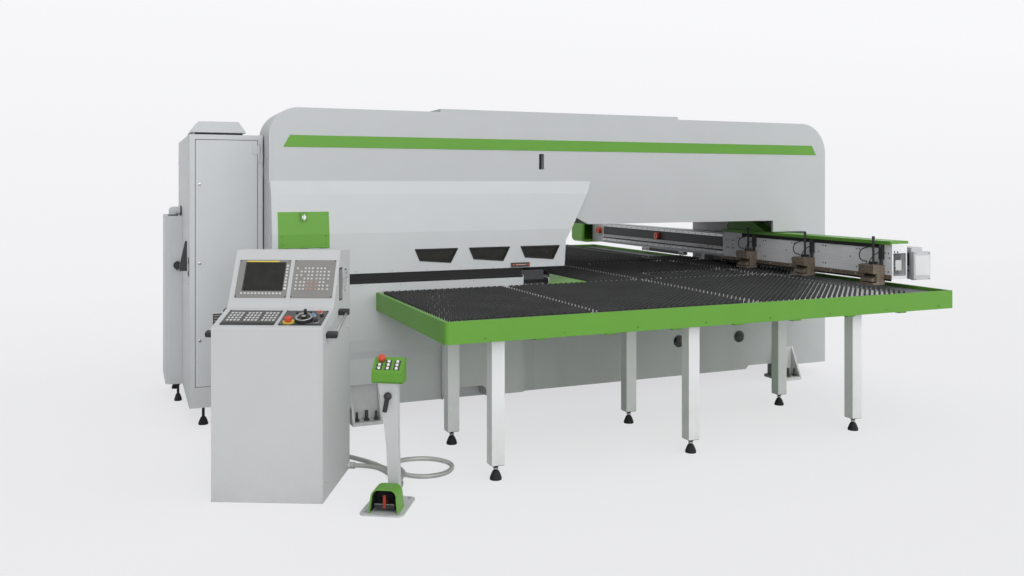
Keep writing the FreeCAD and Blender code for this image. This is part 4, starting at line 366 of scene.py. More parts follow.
class Paintbox:
    """Every finish of the press, built once."""

    FINISHES: tuple[Finish, ...] = (
        Paint("press_paint", (0.528, 0.546, 0.555), 0.45, depth=0.0004, mottle=0.018, dust=0.22),
        Paint("frame_coat", (0.480, 0.496, 0.505), 0.45, depth=0.0004, mottle=0.018, dust=0.18),
        Paint("console_powder_coat", (0.540, 0.553, 0.562), 0.5, depth=0.0005, size=420.0, mottle=0.015,
              dust=0.2, reach=0.35),
        Paint("green_paint", (0.110, 0.304, 0.029), 0.45, depth=0.0004, mottle=0.03, dust=0.15, reach=0.3),
        # A lighter copy of the green paint for the corner plate: painted light on a plate that sits in the
        # hood's shade.
        Paint("lit_green_paint", (0.170, 0.470, 0.045), 0.45, depth=0.0004, mottle=0.03, dust=0.15, reach=0.3),
        Paint("dark_frame_paint", (0.040, 0.042, 0.045), 0.5, mottle=0.08, dust=0.1),
        Paint("leg_paint", (0.690, 0.702, 0.708), 0.4, depth=0.0004, mottle=0.02, dust=0.35, reach=0.5),
        Finish("panel_film", (0.232, 0.229, 0.218), 0.55, size=700.0, depth=0.0001, mottle=0.05),
        Finish("desk_film", (0.095, 0.095, 0.094), 0.55, size=700.0, depth=0.0001, mottle=0.05),
        Finish("pin_film", (0.40, 0.40, 0.39), 0.5, size=600.0, depth=0.0001, mottle=0.04),
        Finish("rose_film", (0.46, 0.27, 0.23), 0.5, size=600.0, depth=0.0001, mottle=0.04),
        Finish("light_key_film", (0.60, 0.605, 0.60), 0.5, size=600.0, depth=0.0001, mottle=0.04),
        Finish("yellow_film", (0.72, 0.56, 0.06), 0.4, size=500.0, depth=0.0001),
        Worked("ground_steel", (0.46, 0.46, 0.47), 0.32, 1.0, mottle=0.08, depth=0.0001,
               lines=(500.0, 5.0, 500.0)),
        Worked("blackened_steel", (0.215, 0.175, 0.135), 0.50, 0.35, mottle=0.22, depth=0.0002,
               lines=(60.0, 60.0, 60.0), contrast=0.3),
        Worked("machined_aluminium", (0.80, 0.81, 0.83), 0.5, 0.0, mottle=0.06, depth=0.0001,
               lines=(300.0, 4.0, 300.0), contrast=0.08),
        Worked("bristles", (0.044, 0.044, 0.045), 0.75, mottle=0.25, depth=0.0004,
               lines=(2500.0, 2500.0, 60.0), contrast=0.5),
        Finish("mat_base", (0.78, 0.79, 0.79), 0.6, size=200.0, mottle=0.10, depth=0.0004),
        Finish("deck_plate", (0.130, 0.130, 0.140), 0.5, mottle=0.12, size=90.0, depth=0.0003),
        Finish("moulded_black", (0.022, 0.022, 0.024), 0.48, size=900.0, depth=0.0002, mottle=0.08),
        Finish("soft_rubber", (0.014, 0.014, 0.015), 0.8, size=260.0, depth=0.0005, mottle=0.15),
        Finish("signal_red", (0.56, 0.055, 0.018), 0.4, size=400.0, depth=0.0001, coat=0.3),
        Finish("shaded_red", (0.300, 0.030, 0.016), 0.45, size=400.0, depth=0.0001),
        Finish("signal_blue", (0.16, 0.34, 0.62), 0.25, size=400.0, depth=0.0001, coat=0.4),
        Finish("signal_white", (0.78, 0.78, 0.76), 0.35, size=400.0, depth=0.0001),
        Pane("screen_glass_face", (0.027, 0.028, 0.025), 0.30, size=60.0, depth=0.00002,
             shine=0.12),
        Pane("smoked_window", (0.014, 0.014, 0.011), 0.22, size=60.0, depth=0.00002, shine=0.25),
        Finish("sensor_black", (0.045, 0.046, 0.048), 0.35, size=500.0, depth=0.0001, mottle=0.06),
        Finish("conduit_metal", (0.43, 0.43, 0.42), 0.42, 0.30, size=120.0, depth=0.0006, mottle=0.30),
        # Near-black: the plain black of a few small parts, and painted shade in holes, sockets, gaps, slots,
        # recesses and dark strips where shadow falls.
        Finish("black_and_painted_shade", (0.012, 0.012, 0.013), 0.8, size=200.0, depth=0.0002, mottle=0.1),
    )

    def __init__(self) -> None:
        """Build all the finishes."""
        self.made = {finish.name: finish.build() for finish in self.FINISHES}

    def __getitem__(self, name: str) -> bpy.types.Material:
        """Return a finish by its name."""
        return self.made[name]


# ---------------------------------------------------------------- mesh shaping


def standing(centre: Point, axis: Point) -> Matrix:
    """Return the turn that stands a form on a point along an axis."""
    return Matrix.Translation(Vector(centre)) @ Vector(axis).to_track_quat("Z", "Y").to_matrix().to_4x4()


def only(kind: type, items: Iterable[object]) -> list:
    """Return the items of one kind, such as the corners of what an operator made."""
    return [item for item in items if isinstance(item, kind)]


def soften(form: bmesh.types.BMesh, edges: Sequence[bmesh.types.BMEdge], ease: float,
           steps: int = 2) -> None:
    """Round edges of a form."""
    bmesh.ops.bevel(form, geom=edges, offset=ease, segments=steps, profile=0.5, affect="EDGES",
                    material=-1, clamp_overlap=True)


def spun(form: bmesh.types.BMesh, edges: Sequence[bmesh.types.BMEdge], steps: int) -> None:
    """Turn a closed section once about z and join its ends."""
    bmesh.ops.spin(form, geom=edges, cent=(0, 0, 0), axis=UP, angle=math.tau, steps=steps, use_merge=True)
    bmesh.ops.remove_doubles(form, verts=form.verts, dist=1e-6)
    bmesh.ops.recalc_face_normals(form, faces=form.faces)


def placed(name: str, data: bpy.types.ID) -> bpy.types.Object:
    """Put an object with this data into the scene."""
    made = bpy.data.objects.new(name, data)
    bpy.context.scene.collection.objects.link(made)
    return made


class Shaper:
    """Builds one piece from bmesh forms, in a frame of its own, with several finishes."""

    def __init__(self, name: str, place: Optional[Matrix] = None) -> None:
        """Start an empty piece.

        Args:
            name: The piece's name.
            place: The frame that its sizes are given in.
        """
        self.name = name
        self.place = place or Matrix.Identity(4)
        self.whole = bmesh.new()
        self.finishes: list[str] = []
        self.made: Optional[bpy.types.Object] = None

    def keep(self, form: bmesh.types.BMesh, finish: str, turn: Optional[Matrix] = None,
             smooth: bool = False) -> None:
        """Put a finished form into the piece.

        Args:
            form: The form, which is used up.
            finish: Name of its finish.
            turn: Where it goes in the piece's frame.
            smooth: Whether its faces shade smoothly.
        """
        if finish not in self.finishes:
            self.finishes.append(finish)
        index = self.finishes.index(finish)
        for face in form.faces:
            face.material_index = index
            face.smooth = smooth
        bmesh.ops.transform(form, matrix=self.place @ (turn or Matrix.Identity(4)), verts=form.verts)
        carrier = bpy.data.meshes.new("carrier")
        form.to_mesh(carrier)
        form.free()
        self.whole.from_mesh(carrier)
        bpy.data.meshes.remove(carrier)

    def block(self, x: Span, y: Span, z: Span, finish: str, ease: float = 0.002, steps: int = 2,
              turn: Optional[Matrix] = None) -> None:
        """Add a block with eased edges between spans on each axis."""
        form = bmesh.new()
        bmesh.ops.create_cube(form, size=1.0)
        size = Vector((x[1] - x[0], y[1] - y[0], z[1] - z[0]))
        middle = Vector(((x[0] + x[1]) / 2, (y[0] + y[1]) / 2, (z[0] + z[1]) / 2))
        bmesh.ops.scale(form, vec=size, verts=form.verts)
        bmesh.ops.translate(form, vec=middle, verts=form.verts)
        if ease > 0:
            soften(form, form.edges[:], min(ease, min(size) * 0.45), steps)
        self.keep(form, finish, turn)

    def blocks(self, finish: str, ease: float, *limits: Sequence[float]) -> None:
        """Add blocks of one finish, each by its six limits along x, y and z."""
        for x0, x1, y0, y1, z0, z1 in limits:
            self.block((x0, x1), (y0, y1), (z0, z1), finish, ease)

    def rim(self, outer: tuple[Span, Span], inner: tuple[Span, Span], thick: Span, finish: str,
            ease: float = 0.0002, steps: int = 1, upright: bool = False) -> None:
        """Add four blocks round an opening: two sides of full height, then two ends between them.

        Args:
            outer: Spans of the whole across and up.
            inner: Spans of the opening across and up.
            thick: Span through it.
            finish: Name of its finish.
            ease: Rounding of the edges.
            steps: Steps of the rounding.
            upright: Whether it stands in the x and z plane, rather than lying in x and y.
        """
        (left, right), tall = outer
        (near, far), (low, high) = inner
        for x, up in (((left, near), tall), ((far, right), tall), ((near, far), (tall[0], low)),
                      ((near, far), (high, tall[1]))):
            y, z = (thick, up) if upright else (up, thick)
            self.block(x, y, z, finish, ease, steps)

    def round(self, centre: Point, axis: Point, radius: float, length: float, finish: str,
              ease: float = 0.001, sides: int = 24, top: Optional[float] = None) -> None:
        """Add a turned form that stands on a point along an axis.

        Args:
            centre: Middle of its foot.
            axis: Direction it grows in.
            radius: Radius at the foot.
            length: Height along the axis.
            finish: Name of its finish.
            ease: Rounding of its rims.
            sides: Number of sides; six makes a nut.
            top: Radius at the top, if it tapers.
        """
        form = bmesh.new()
        bmesh.ops.create_cone(form, cap_ends=True, segments=sides, radius1=radius,
                              radius2=radius if top is None else top, depth=length)
        bmesh.ops.translate(form, vec=(0, 0, length / 2), verts=form.verts)
        if ease > 0:
            rims = [edge for edge in form.edges if len(edge.link_faces) == 2
                    and any(len(face.verts) == sides for face in edge.link_faces)]
            soften(form, rims, min(ease, length * 0.4, radius * 0.4))
        self.keep(form, finish, standing(centre, axis), smooth=sides > 8)

    def stack(self, x: float, y: float, finish: str, *steps: Sequence[float]) -> None:
        """Add turned forms up z, each by its foot's height, radius, length and number of sides."""
        for foot, radius, length, sides in steps:
            self.round((x, y, foot), UP, radius, length, finish, sides=sides)

    def hoop(self, centre: Point, axis: Point, radius: float, wire: float, finish: str,
             sides: int = 28) -> None:
        """Add a ring of round wire about an axis."""
        form = bmesh.new()
        rim = bmesh.ops.create_circle(form, segments=8, radius=wire)["verts"]
        turn = Matrix.Translation((radius, 0, 0)) @ Matrix.Rotation(math.radians(90), 4, "X")
        bmesh.ops.transform(form, matrix=turn, verts=rim)
        spun(form, form.edges[:], sides)
        self.keep(form, finish, standing(centre, axis), smooth=True)

    def annulus(self, centre: Point, inner: float, outer: float, height: float, finish: str) -> None:
        """Add a flat ring, between an inner and an outer radius, that stands on a point along z."""
        form = bmesh.new()
        corners = [form.verts.new(spot) for spot in ((inner, 0, 0), (outer, 0, 0), (outer, 0, height),
                                                     (inner, 0, height))]
        spun(form, [form.edges.new(pair) for pair in zip(corners, corners[1:] + corners[:1])], 36)
        self.keep(form, finish, Matrix.Translation(Vector(centre)))

    def slab(self, corners: Sequence[Point], thick: Point, finish: str) -> None:
        """Add a flat outline of corners in order, pushed out along a vector."""
        form = bmesh.new()
        face = form.faces.new([form.verts.new(corner) for corner in corners])
        grown = bmesh.ops.extrude_face_region(form, geom=[face])["geom"]
        bmesh.ops.translate(form, vec=Vector(thick), verts=only(bmesh.types.BMVert, grown))
        bmesh.ops.recalc_face_normals(form, faces=form.faces)
        self.keep(form, finish)

    def line(self, points: Sequence[Point], radius: float, finish: str) -> None:
        """Add a smooth bent tube along control points."""
        spots = spline_points(points, 8)
        self.keep(sweep(spots, [radius] * len(spots), 10), finish, smooth=True)

    def bolt(self, centre: Point, axis: Point, radius: float, finish: str = "ground_steel") -> None:
        """Add a socket head screw: an eased head with a hexagon socket."""
        self.round(centre, axis, radius, radius * 0.9, finish, ease=radius * 0.15, sides=16)
        way = Vector(axis).normalized()
        socket = Vector(centre) + way * radius * 0.905
        # The socket's inside is painted shade: a flat near-black hexagon.
        self.round(socket, axis, radius * 0.5, radius * 0.02, "black_and_painted_shade", ease=0, sides=6)

    def bolts(self, spots: Iterable[Point], axis: Point, radius: float,
              finish: str = "ground_steel") -> None:
        """Add one screw at each spot."""
        for spot in spots:
            self.bolt(spot, axis, radius, finish)

    def finish(self, paints: Paintbox, rides: Rides, slot: Slot) -> bpy.types.Object:
        """Turn the forms into an object at the origin that rides on a body.

        Args:
            paints: The finishes.
            rides: The body that it moves with.
            slot: The record's slot that it belongs to; not used.

        Returns:
            The finished object.
        """
        mesh = bpy.data.meshes.new(self.name)
        self.whole.to_mesh(mesh)
        self.whole.free()
        for name in self.finishes:
            mesh.materials.append(paints[name])
        piece = placed(self.name, mesh)
        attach(piece, rides.value)
        LOG.info("%s: %d faces on %s", self.name, len(mesh.polygons), rides.value)
        return piece


def spline_points(points: Sequence[Point], fine: int) -> list[Vector]:
    """Read points along a smooth spline that control points pull on.

    Args:
        points: The control points.
        fine: Steps between two of them.

    Returns:
        Points along the spline.
    """
    curve = bpy.data.curves.new("route", "CURVE")
    curve.dimensions = "3D"
    curve.resolution_u = fine
    run = curve.splines.new("NURBS")
    run.points.add(len(points) - 1)
    for spot, place in zip(run.points, points):
        spot.co = (*place, 1.0)
    run.order_u = 3
    run.use_endpoint_u = True
    holder = bpy.data.objects.new("route", curve)
    mesh = bpy.data.meshes.new_from_object(holder)
    found = [vertex.co.copy() for vertex in mesh.vertices]
    bpy.data.objects.remove(holder)
    bpy.data.curves.remove(curve)
    bpy.data.meshes.remove(mesh)
    return found


def spaced(points: Sequence[Vector], step: float) -> list[Vector]:
    """Walk along points and return places an even step apart, ends included."""
    found = [points[0].copy()]
    left = step
    for start, end in zip(points, points[1:]):
        gap = (end - start).length
        way = (end - start).normalized() if gap else Vector()
        done = 0.0
        while gap - done >= left:
            done += left
            found.append(start + way * done)
            left = step
        left -= gap - done
    if (found[-1] - points[-1]).length > step * 0.2:
        found.append(points[-1].copy())
    return found


def sweep(points: Sequence[Vector], radii: Sequence[float], sides: int) -> bmesh.types.BMesh:
    """Carry a circle of changing radius along points and close both ends.

    Args:
        points: Centres of the circle.
        radii: Its radius at each of them.
        sides: Its number of sides.

    Returns:
        The tube as a bmesh.
    """
    form = bmesh.new()
    way = (points[1] - points[0]).normalized()
    turn = way.to_track_quat("Z", "Y")
    rings = []
    for index, (spot, radius) in enumerate(zip(points, radii)):
        ahead = points[min(index + 1, len(points) - 1)] - points[max(index - 1, 0)]
        ahead.normalize()
        turn = way.rotation_difference(ahead) @ turn
        way = ahead
        made = bmesh.ops.create_circle(form, segments=sides, radius=radius)["verts"]
        bmesh.ops.transform(form, matrix=Matrix.Translation(spot) @ turn.to_matrix().to_4x4(), verts=made)
        rings.append(made)
    for first, second in zip(rings, rings[1:]):
        for index in range(sides):
            after = (index + 1) % sides
            form.faces.new((first[index], first[after], second[after], second[index]))
    form.faces.new(rings[0])
    form.faces.new(rings[-1])
    bmesh.ops.recalc_face_normals(form, faces=form.faces)
    return form


def turned_frame(origin: Span, degrees: float) -> Matrix:
    """Return the frame of a unit that stands on the floor, turned about z."""
    return Matrix.Translation((*origin, 0.0)) @ Matrix.Rotation(math.radians(degrees), 4, "Z")


def slope(unit: Matrix, foot: Point, rise: float, run: float) -> Matrix:
    """Return the frame of a slope on a unit, by its foot, its rise and its run."""
    return unit @ Matrix.Translation(Vector(foot)) @ Matrix.Rotation(math.atan2(rise, run), 4, "X")


CONSOLE = turned_frame((-3.051, -2.173), -25.9)
DESK = slope(CONSOLE, (0, 0, 0.945), 0.075, 0.240)
SCREEN = slope(CONSOLE, (0, 0.240, 1.020), 0.317, 0.165)
STAND = turned_frame((-2.188, -2.618), -30.9)
BOX_TOP = slope(STAND, (0, 0.062, 0.700), 0.068, 0.072)


@dataclass
class Fittings:
    """Small parts of one unit."""

    paints: Paintbox

    @contextmanager
    def piece(self, name: str, slot: Slot, rides: Rides = Rides.MACHINE,
              place: Optional[Matrix] = None) -> Iterator[Shaper]:
        """Open a piece, and finish it when its forms are in.

        Args:
            name: The piece's name.
            slot: The record's slot that it belongs to.
            rides: The body that it moves with.
            place: The frame that its sizes are given in.

        Yields:
            The piece, with its object in the attribute made once it is finished.
        """
        shape = Shaper(name, place)
        yield shape
        shape.made = shape.finish(self.paints, rides, slot)


# ---------------------------------------------------------------- carried-over solids


class CadDress(Fittings):
    """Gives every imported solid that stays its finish, by its slot or its name."""

    FINISHES: dict[Slot, str] = {
        Slot.BODY: "press_paint", Slot.CONSOLE: "console_powder_coat", Slot.GREEN: "green_paint",
        Slot.DARK: "dark_frame_paint", Slot.PANEL: "panel_film", Slot.STEEL: "ground_steel",
        Slot.BLACKED: "blackened_steel", Slot.ALUMINIUM: "machined_aluminium", Slot.BRUSH: "bristles",
        Slot.PLASTIC: "moulded_black", Slot.RUBBER: "soft_rubber", Slot.RED: "signal_red",
        Slot.SCREEN: "screen_glass_face", Slot.WINDOW: "smoked_window", Slot.SENSOR: "sensor_black",
        Slot.CONDUIT: "conduit_metal"}
    SPECIAL: dict[str, str] = {
        "table_legs": "leg_paint", "beam_end_cover": "green_paint", "centre_table": "deck_plate",
        "pedal": "moulded_black", "bridge_frame": "frame_coat", "roof_cover": "frame_coat",
        # The corner plate takes the lighter copy of the green paint as painted light.
        "start_button": "signal_blue", "hatch_latch": "ground_steel", "corner_plate": "lit_green_paint"}

    def build(self) -> None:
        """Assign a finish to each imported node."""
        slots = {part["node"]: part["material_slot"] for part in frame["record"]["subparts"]}
        for name, solid in frame["nodes"].items():
            solid.data.materials.clear()
            solid.data.materials.append(
                self.paints[self.SPECIAL.get(name) or self.FINISHES[Slot(slots[name])]])
        LOG.info("dressed %d packed solids", len(frame["nodes"]))


# ---------------------------------------------------------------- conduits


@dataclass
class Conduits(Fittings):
    """The two ribbed metal conduits on the floor between the console and the stand."""

    radius: float = 0.0135
    rib: float = 0.0018
    pitch: float = 0.0120
    sunk: float = 0.80
    sides: int = 14
    long_route: tuple[Point, ...] = (
        (-2.5693, -1.6732, 0.022), (-2.5125, -1.5563, 0.022), (-2.392, -1.507, 0.014),
        (-2.270, -1.550, 0.014), (-2.187, -1.712, 0.014), (-2.094, -1.870, 0.014),
        (-2.036, -2.049, 0.014), (-1.924, -2.261, 0.014), (-1.732, -2.268, 0.014),
        (-1.630, -2.105, 0.014), (-1.720, -1.935, 0.014), (-1.912, -1.928, 0.026),
        (-2.018, -2.098, 0.056), (-2.005, -2.235, 0.064), (-2.0194, -2.3518, 0.075),
        (-2.0964, -2.4805, 0.075))
    short_route: tuple[Point, ...] = (
        (-2.2114, -1.9137, 0.022), (-2.1035, -1.9661, 0.022), (-2.050, -2.090, 0.014),
        (-2.052, -2.225, 0.014), (-2.0245, -2.3604, 0.033), (-2.0964, -2.4805, 0.033))

    def ribbed(self, name: str, node: str, route: Sequence[Point]) -> bpy.types.Object:
        """Args:
            name: The piece's name.
            node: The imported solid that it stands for.
            route: The route's control points.

        Returns:
            The hose.
        """
        wave = (0.0, self.rib * 0.7, self.rib, self.rib * 0.7)
        line = spaced(spline_points(route, 24), self.pitch / len(wave))
        radii = [self.radius - self.rib * self.sunk + wave[index % len(wave)] for index in range(len(line))]
        with self.piece(name, Slot.CONDUIT) as shape:
            shape.keep(sweep(line, radii, self.sides), "conduit_metal", smooth=True)
        hose = shape.made
        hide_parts(node)
        return hose

    def build(self) -> None:
        """Build both conduits with their end collars."""
        self.ribbed("ribbed_conduit_long", "conduit_long", self.long_route)
        self.ribbed("ribbed_conduit_short", "conduit_short", self.short_route)
        with self.piece("conduit_collars", Slot.STEEL) as collars:
            for route in (self.long_route, self.short_route):
                for end, inner in ((route[0], route[1]), (route[-1], route[-2])):
                    way = (Vector(inner) - Vector(end)).normalized()
                    foot = Vector(end) - way * 0.016
                    collars.round(foot, way, 0.0196, 0.014, "ground_steel", ease=0.002)
                    collars.round(foot + way * 0.014, way, 0.0205, 0.012, "ground_steel", sides=6)


# ---------------------------------------------------------------- brush tables


@dataclass
class BrushTables(Fittings):
    """Bristle tufts on light mats in a diagonal grid, with pale pins along the mats' seams."""

    pitch: float = 0.046
    seams: tuple[float, ...] = (-0.860, 0.340, 1.540)
    seam: float = 0.022
    base: float = 0.921
    base_thick: float = 0.006
    top: float = 0.960
    foot_radius: float = 0.0052
    tip_radius: float = 0.0078
    lean: float = 0.0007

    def pair(self) -> bmesh.types.BMesh:
        """Make two splayed tufts, half a pitch apart both ways.

        Returns:
            The tufts, standing on the mat near x and y 0.
        """
        form = bmesh.new()
        height = self.top - self.base - self.base_thick - 0.001
        for step in (0.0, self.pitch / 2):
            made = bmesh.ops.create_cone(form, cap_ends=True, segments=6, radius1=self.foot_radius,
                                         radius2=self.tip_radius, depth=height)["verts"]
            foot = (step, step, self.base + self.base_thick + height / 2)
            bmesh.ops.translate(form, vec=foot, verts=made)
        hidden = [face for face in form.faces if face.normal.z < -0.9]
        bmesh.ops.delete(form, geom=hidden, context="FACES_ONLY")
        return form

    def field(self, x: Span, y: Span, seed: int) -> bmesh.types.BMesh:
        """Fill a rectangle with tufts, each leaning a little its own way.

        Args:
            x: Span of the tufts along x.
            y: Span of the tufts along y.
            seed: Seed of the small lean of each tuft.

        Returns:
            The tufts.
        """
        single = bpy.data.meshes.new("tufts")
        form = self.pair()
        corners = len(form.verts) // 2
        form.to_mesh(single)
        form.free()
        across, deep = (int((span[1] - span[0] - 0.012) / self.pitch) for span in (x, y))
        holder = placed("tufts", single)
        for count, offset in ((across, (self.pitch, 0, 0)), (deep, (0, self.pitch, 0))):
            rows = holder.modifiers.new("rows", "ARRAY")
            rows.use_relative_offset = False
            rows.use_constant_offset = True
            rows.constant_offset_displace = offset
            rows.count = count
        bpy.context.view_layer.update()
        filled = bpy.data.meshes.new_from_object(holder.evaluated_get(bpy.context.evaluated_depsgraph_get()))
        places = np.zeros(len(filled.vertices) * 3)
        filled.vertices.foreach_get("co", places)
        places = places.reshape(deep, across, 2, corners, 3)
        lean = np.random.default_rng(seed).normal(0.0, self.lean, (deep, across, 2, 1, 2))
        places[..., :2] += lean * (places[..., 2:3] - self.base) / (self.top - self.base)
        for axis, (span, count) in enumerate(((x, across), (y, deep))):
            places[..., axis] += (span[0] + span[1] - (count - 0.5) * self.pitch) / 2
        filled.vertices.foreach_set("co", places.reshape(-1))
        form = bmesh.new()
        form.from_mesh(filled)
        bpy.data.objects.remove(holder)
        bpy.data.meshes.remove(filled)
        bpy.data.meshes.remove(single)
        return form

    def pins(self, shape: Shaper, start: Point, end: Point) -> None:
        """Add a row of small pale pins between two points of the mat."""
        first, last = Vector((*start, self.base + 0.004)), Vector((*end, self.base + 0.004))
        count = int((last - first).length / self.pitch)
        for index in range(count + 1):
            shape.round(first.lerp(last, index / count), UP, 0.0046, self.top - self.base - 0.0045,
                        "pin_film", ease=0, sides=6, top=0.0036)

    def mat(self, name: str, fields: Sequence[tuple[Span, Span]], seed: int) -> bpy.types.Object:
        """Build one table's mats, tufts and seam pins.

        Args:
            name: The piece's name.
            fields: Rectangles as spans along x and y.
            seed: Seed of the tufts' lean.

        Returns:
            The finished piece.
        """
        edge = self.seam / 2
        with self.piece(name, Slot.BRUSH) as shape:
            for index, (x, y) in enumerate(fields):
                shape.block(x, y, (self.base, self.base + self.base_thick), "mat_base", 0.001, 1)
                cuts = [spot for spot in self.seams if x[0] + 0.1 < spot < x[1] - 0.1]
                for column, (low, high) in enumerate(zip([x[0] - edge, *cuts], [*cuts, x[1] + edge])):
                    tufts = self.field((low + edge, high - edge), y, seed + 10 * index + column)
                    shape.keep(tufts, "bristles")
                for spot in cuts:
                    self.pins(shape, (spot, y[0] + 0.02), (spot, y[1] - 0.02))
                self.pins(shape, (x[0] + 0.02, y[1] - 0.006), (x[1] - 0.02, y[1] - 0.006))
        return shape.made

    def build(self) -> None:
        """Build the mats of the front, rear and centre tables."""
        front = self.mat("front_brushes", [((-1.811, 1.660), (-2.511, -1.024))], 3)
        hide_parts("brush_mats")
        self.mat("rear_brushes", [((-1.811, 1.660), (0.974, 2.921))], 5)
        slot = 0.055
        self.mat("centre_brushes", [((-0.118, 0.618), (-0.966, 0.966)),
                                    ((0.622, 2.046), (-0.966, -0.504 - slot)),
                                    ((0.622, 2.046), (-0.496 + slot, 0.496 - slot)),
                                    ((0.622, 2.046), (0.504 + slot, 0.966))], 7)


@dataclass
class TableFittings(Fittings):
    """Deck skins, leg flanges, jam nuts and rim screws of the tables."""

    leg_rows: tuple[float, ...] = (-2.425, -1.645, 1.645, 2.835)
    leg_columns: tuple[float, ...] = (-1.490, -0.140, 1.210)
    side: float = 0.080

    def build(self) -> None:
        """Build the deck skins, leg flanges, jam nuts and rim screws."""
        with self.piece("deck_skins", Slot.DARK) as skins:
            skins.blocks("deck_plate", 0.001, (1.668, 2.024, -2.514, -1.022, 0.9212, 0.9262),
                         (1.668, 2.024, 0.972, 2.924, 0.9212, 0.9262))
        half = self.side / 2
        with self.piece("jam_nuts", Slot.STEEL) as nuts, self.piece("leg_flanges", Slot.BODY) as flanges:
            for x, y in product(self.leg_columns, self.leg_rows):
                for grow, z, finish, ease in ((0.012, (0.900, 0.9145), "leg_paint", 0.002),
                                              (-0.002, (0.0865, 0.0905), "moulded_black", 0.001)):
                    flanges.block((x - half - grow, x + half + grow), (y - half - grow, y + half + grow),
                                  z, finish, ease)
                nuts.stack(x, y, "ground_steel", (0.060, 0.0155, 0.010, 6))
                nuts.hoop((x, y, 0.0100), UP, 0.0338, 0.0016, "soft_rubber")
        with self.piece("rim_screws", Slot.GREEN) as screws:
            screws.bolts([(-1.60 + index * 0.50, -2.5405, 0.848) for index in range(8)], FRONT, 0.0055,
                         "green_paint")


# ---------------------------------------------------------------- frame and hood


@dataclass
class FrameFittings(Fittings):
    """Pale foot coats of painted light, anchor studs, hole and slot rims with painted shade inside, roof
    screws and stripe clips of the frame.
    """

    reach: float = 1.890
    row: float = 0.940
    spread: float = 0.070
    face: float = 0.870

    def skins(self) -> None:
        """Coat the four feet in the paler leg paint, painted light that lifts them out of the shade under
        the machine: each plate, its two ribs and the wall between them.
        """
        half, wall, film = 0.110, 0.016, 0.0005
        near, far, low = self.face + 0.0004, 0.980 + film, 0.026
        outline = ((near, low), (far, low), (far, 0.037 + film), (near, 0.275 + 2 * film))
        with self.piece("foot_light_coats", Slot.BODY) as shape:
            for across, side in product((-self.reach, self.reach), SIDES):
                for grow, start, end, z, ease in (
                        (film, self.face + 0.001, 0.985 + film, (0.0, 0.025 + film), 0.004),
                        (-wall, self.face + 0.0002, self.face + 0.0012, (low, 0.274), 0.0)):
                    shape.block((across - half - grow, across + half + grow),
                                tuple(sorted((side * start, side * end))), z, "leg_paint", ease)
                for left in (across - half, across + half - wall):
                    shape.slab([(left - film, side * deep, high) for deep, high in outline],
                               (wall + 2 * film, 0, 0), "leg_paint")

    def build(self) -> None:
        """Build the frame's small parts."""
        self.skins()
        with self.piece("anchor_studs", Slot.BLACKED) as studs:
            for across, deep in product((-self.reach, self.reach), (-self.row, self.row)):
                for x in (across - self.spread, across + self.spread):
                    studs.stack(x, deep, "dark_frame_paint", (0.0252, 0.019, 0.004, 20),
                                (0.0292, 0.0165, 0.015, 6), (0.0442, 0.0095, 0.045, 14))
                studs.stack(across, deep, "dark_frame_paint", (0.0252, 0.0215, 0.014, 6),
                            (0.0392, 0.0125, 0.060, 16))
        with self.piece("lifting_rims", Slot.BODY) as rims:
            for x, side in product((0.800, 1.417), SIDES):
                rims.hoop((x, side * (self.face + 0.0005), 0.400), BACK, 0.0545, 0.0035, "press_paint")
                # A near-black disc deep in each hole is painted shade.
                rims.round((x, side * (self.face - 0.118), 0.400), (0, side, 0), 0.0515, 0.002,
                           "black_and_painted_shade", ease=0)
        with self.piece("hook_slot_rim", Slot.BODY) as hook:
            for x in (-0.498, -0.448):
                hook.block((x - 0.003, x + 0.003), (-self.face - 0.002, -self.face + 0.02), (1.838, 1.958),
                           "press_paint", 0.001)
            # A near-black strip behind the slot is painted shade.
            hook.block((-0.494, -0.452), (-self.face + 0.057, -self.face + 0.0595), (1.838, 1.958),
                       "black_and_painted_shade", 0)
        with self.piece("roof_screws", Slot.STEEL) as screws:
            screws.bolts([(-1.22 + index * 0.247, side * 0.840, 2.2641)
                          for index, side in product(range(9), SIDES)], UP, 0.0065)
        with self.piece("stripe_clips", Slot.GREEN) as clips:
            for index in range(7):
                clips.round((-2.25 + index * 0.72, -self.face - 0.003, 2.026), FRONT, 0.0045, 0.0015,
                            "green_paint", ease=0.0004, sides=14)


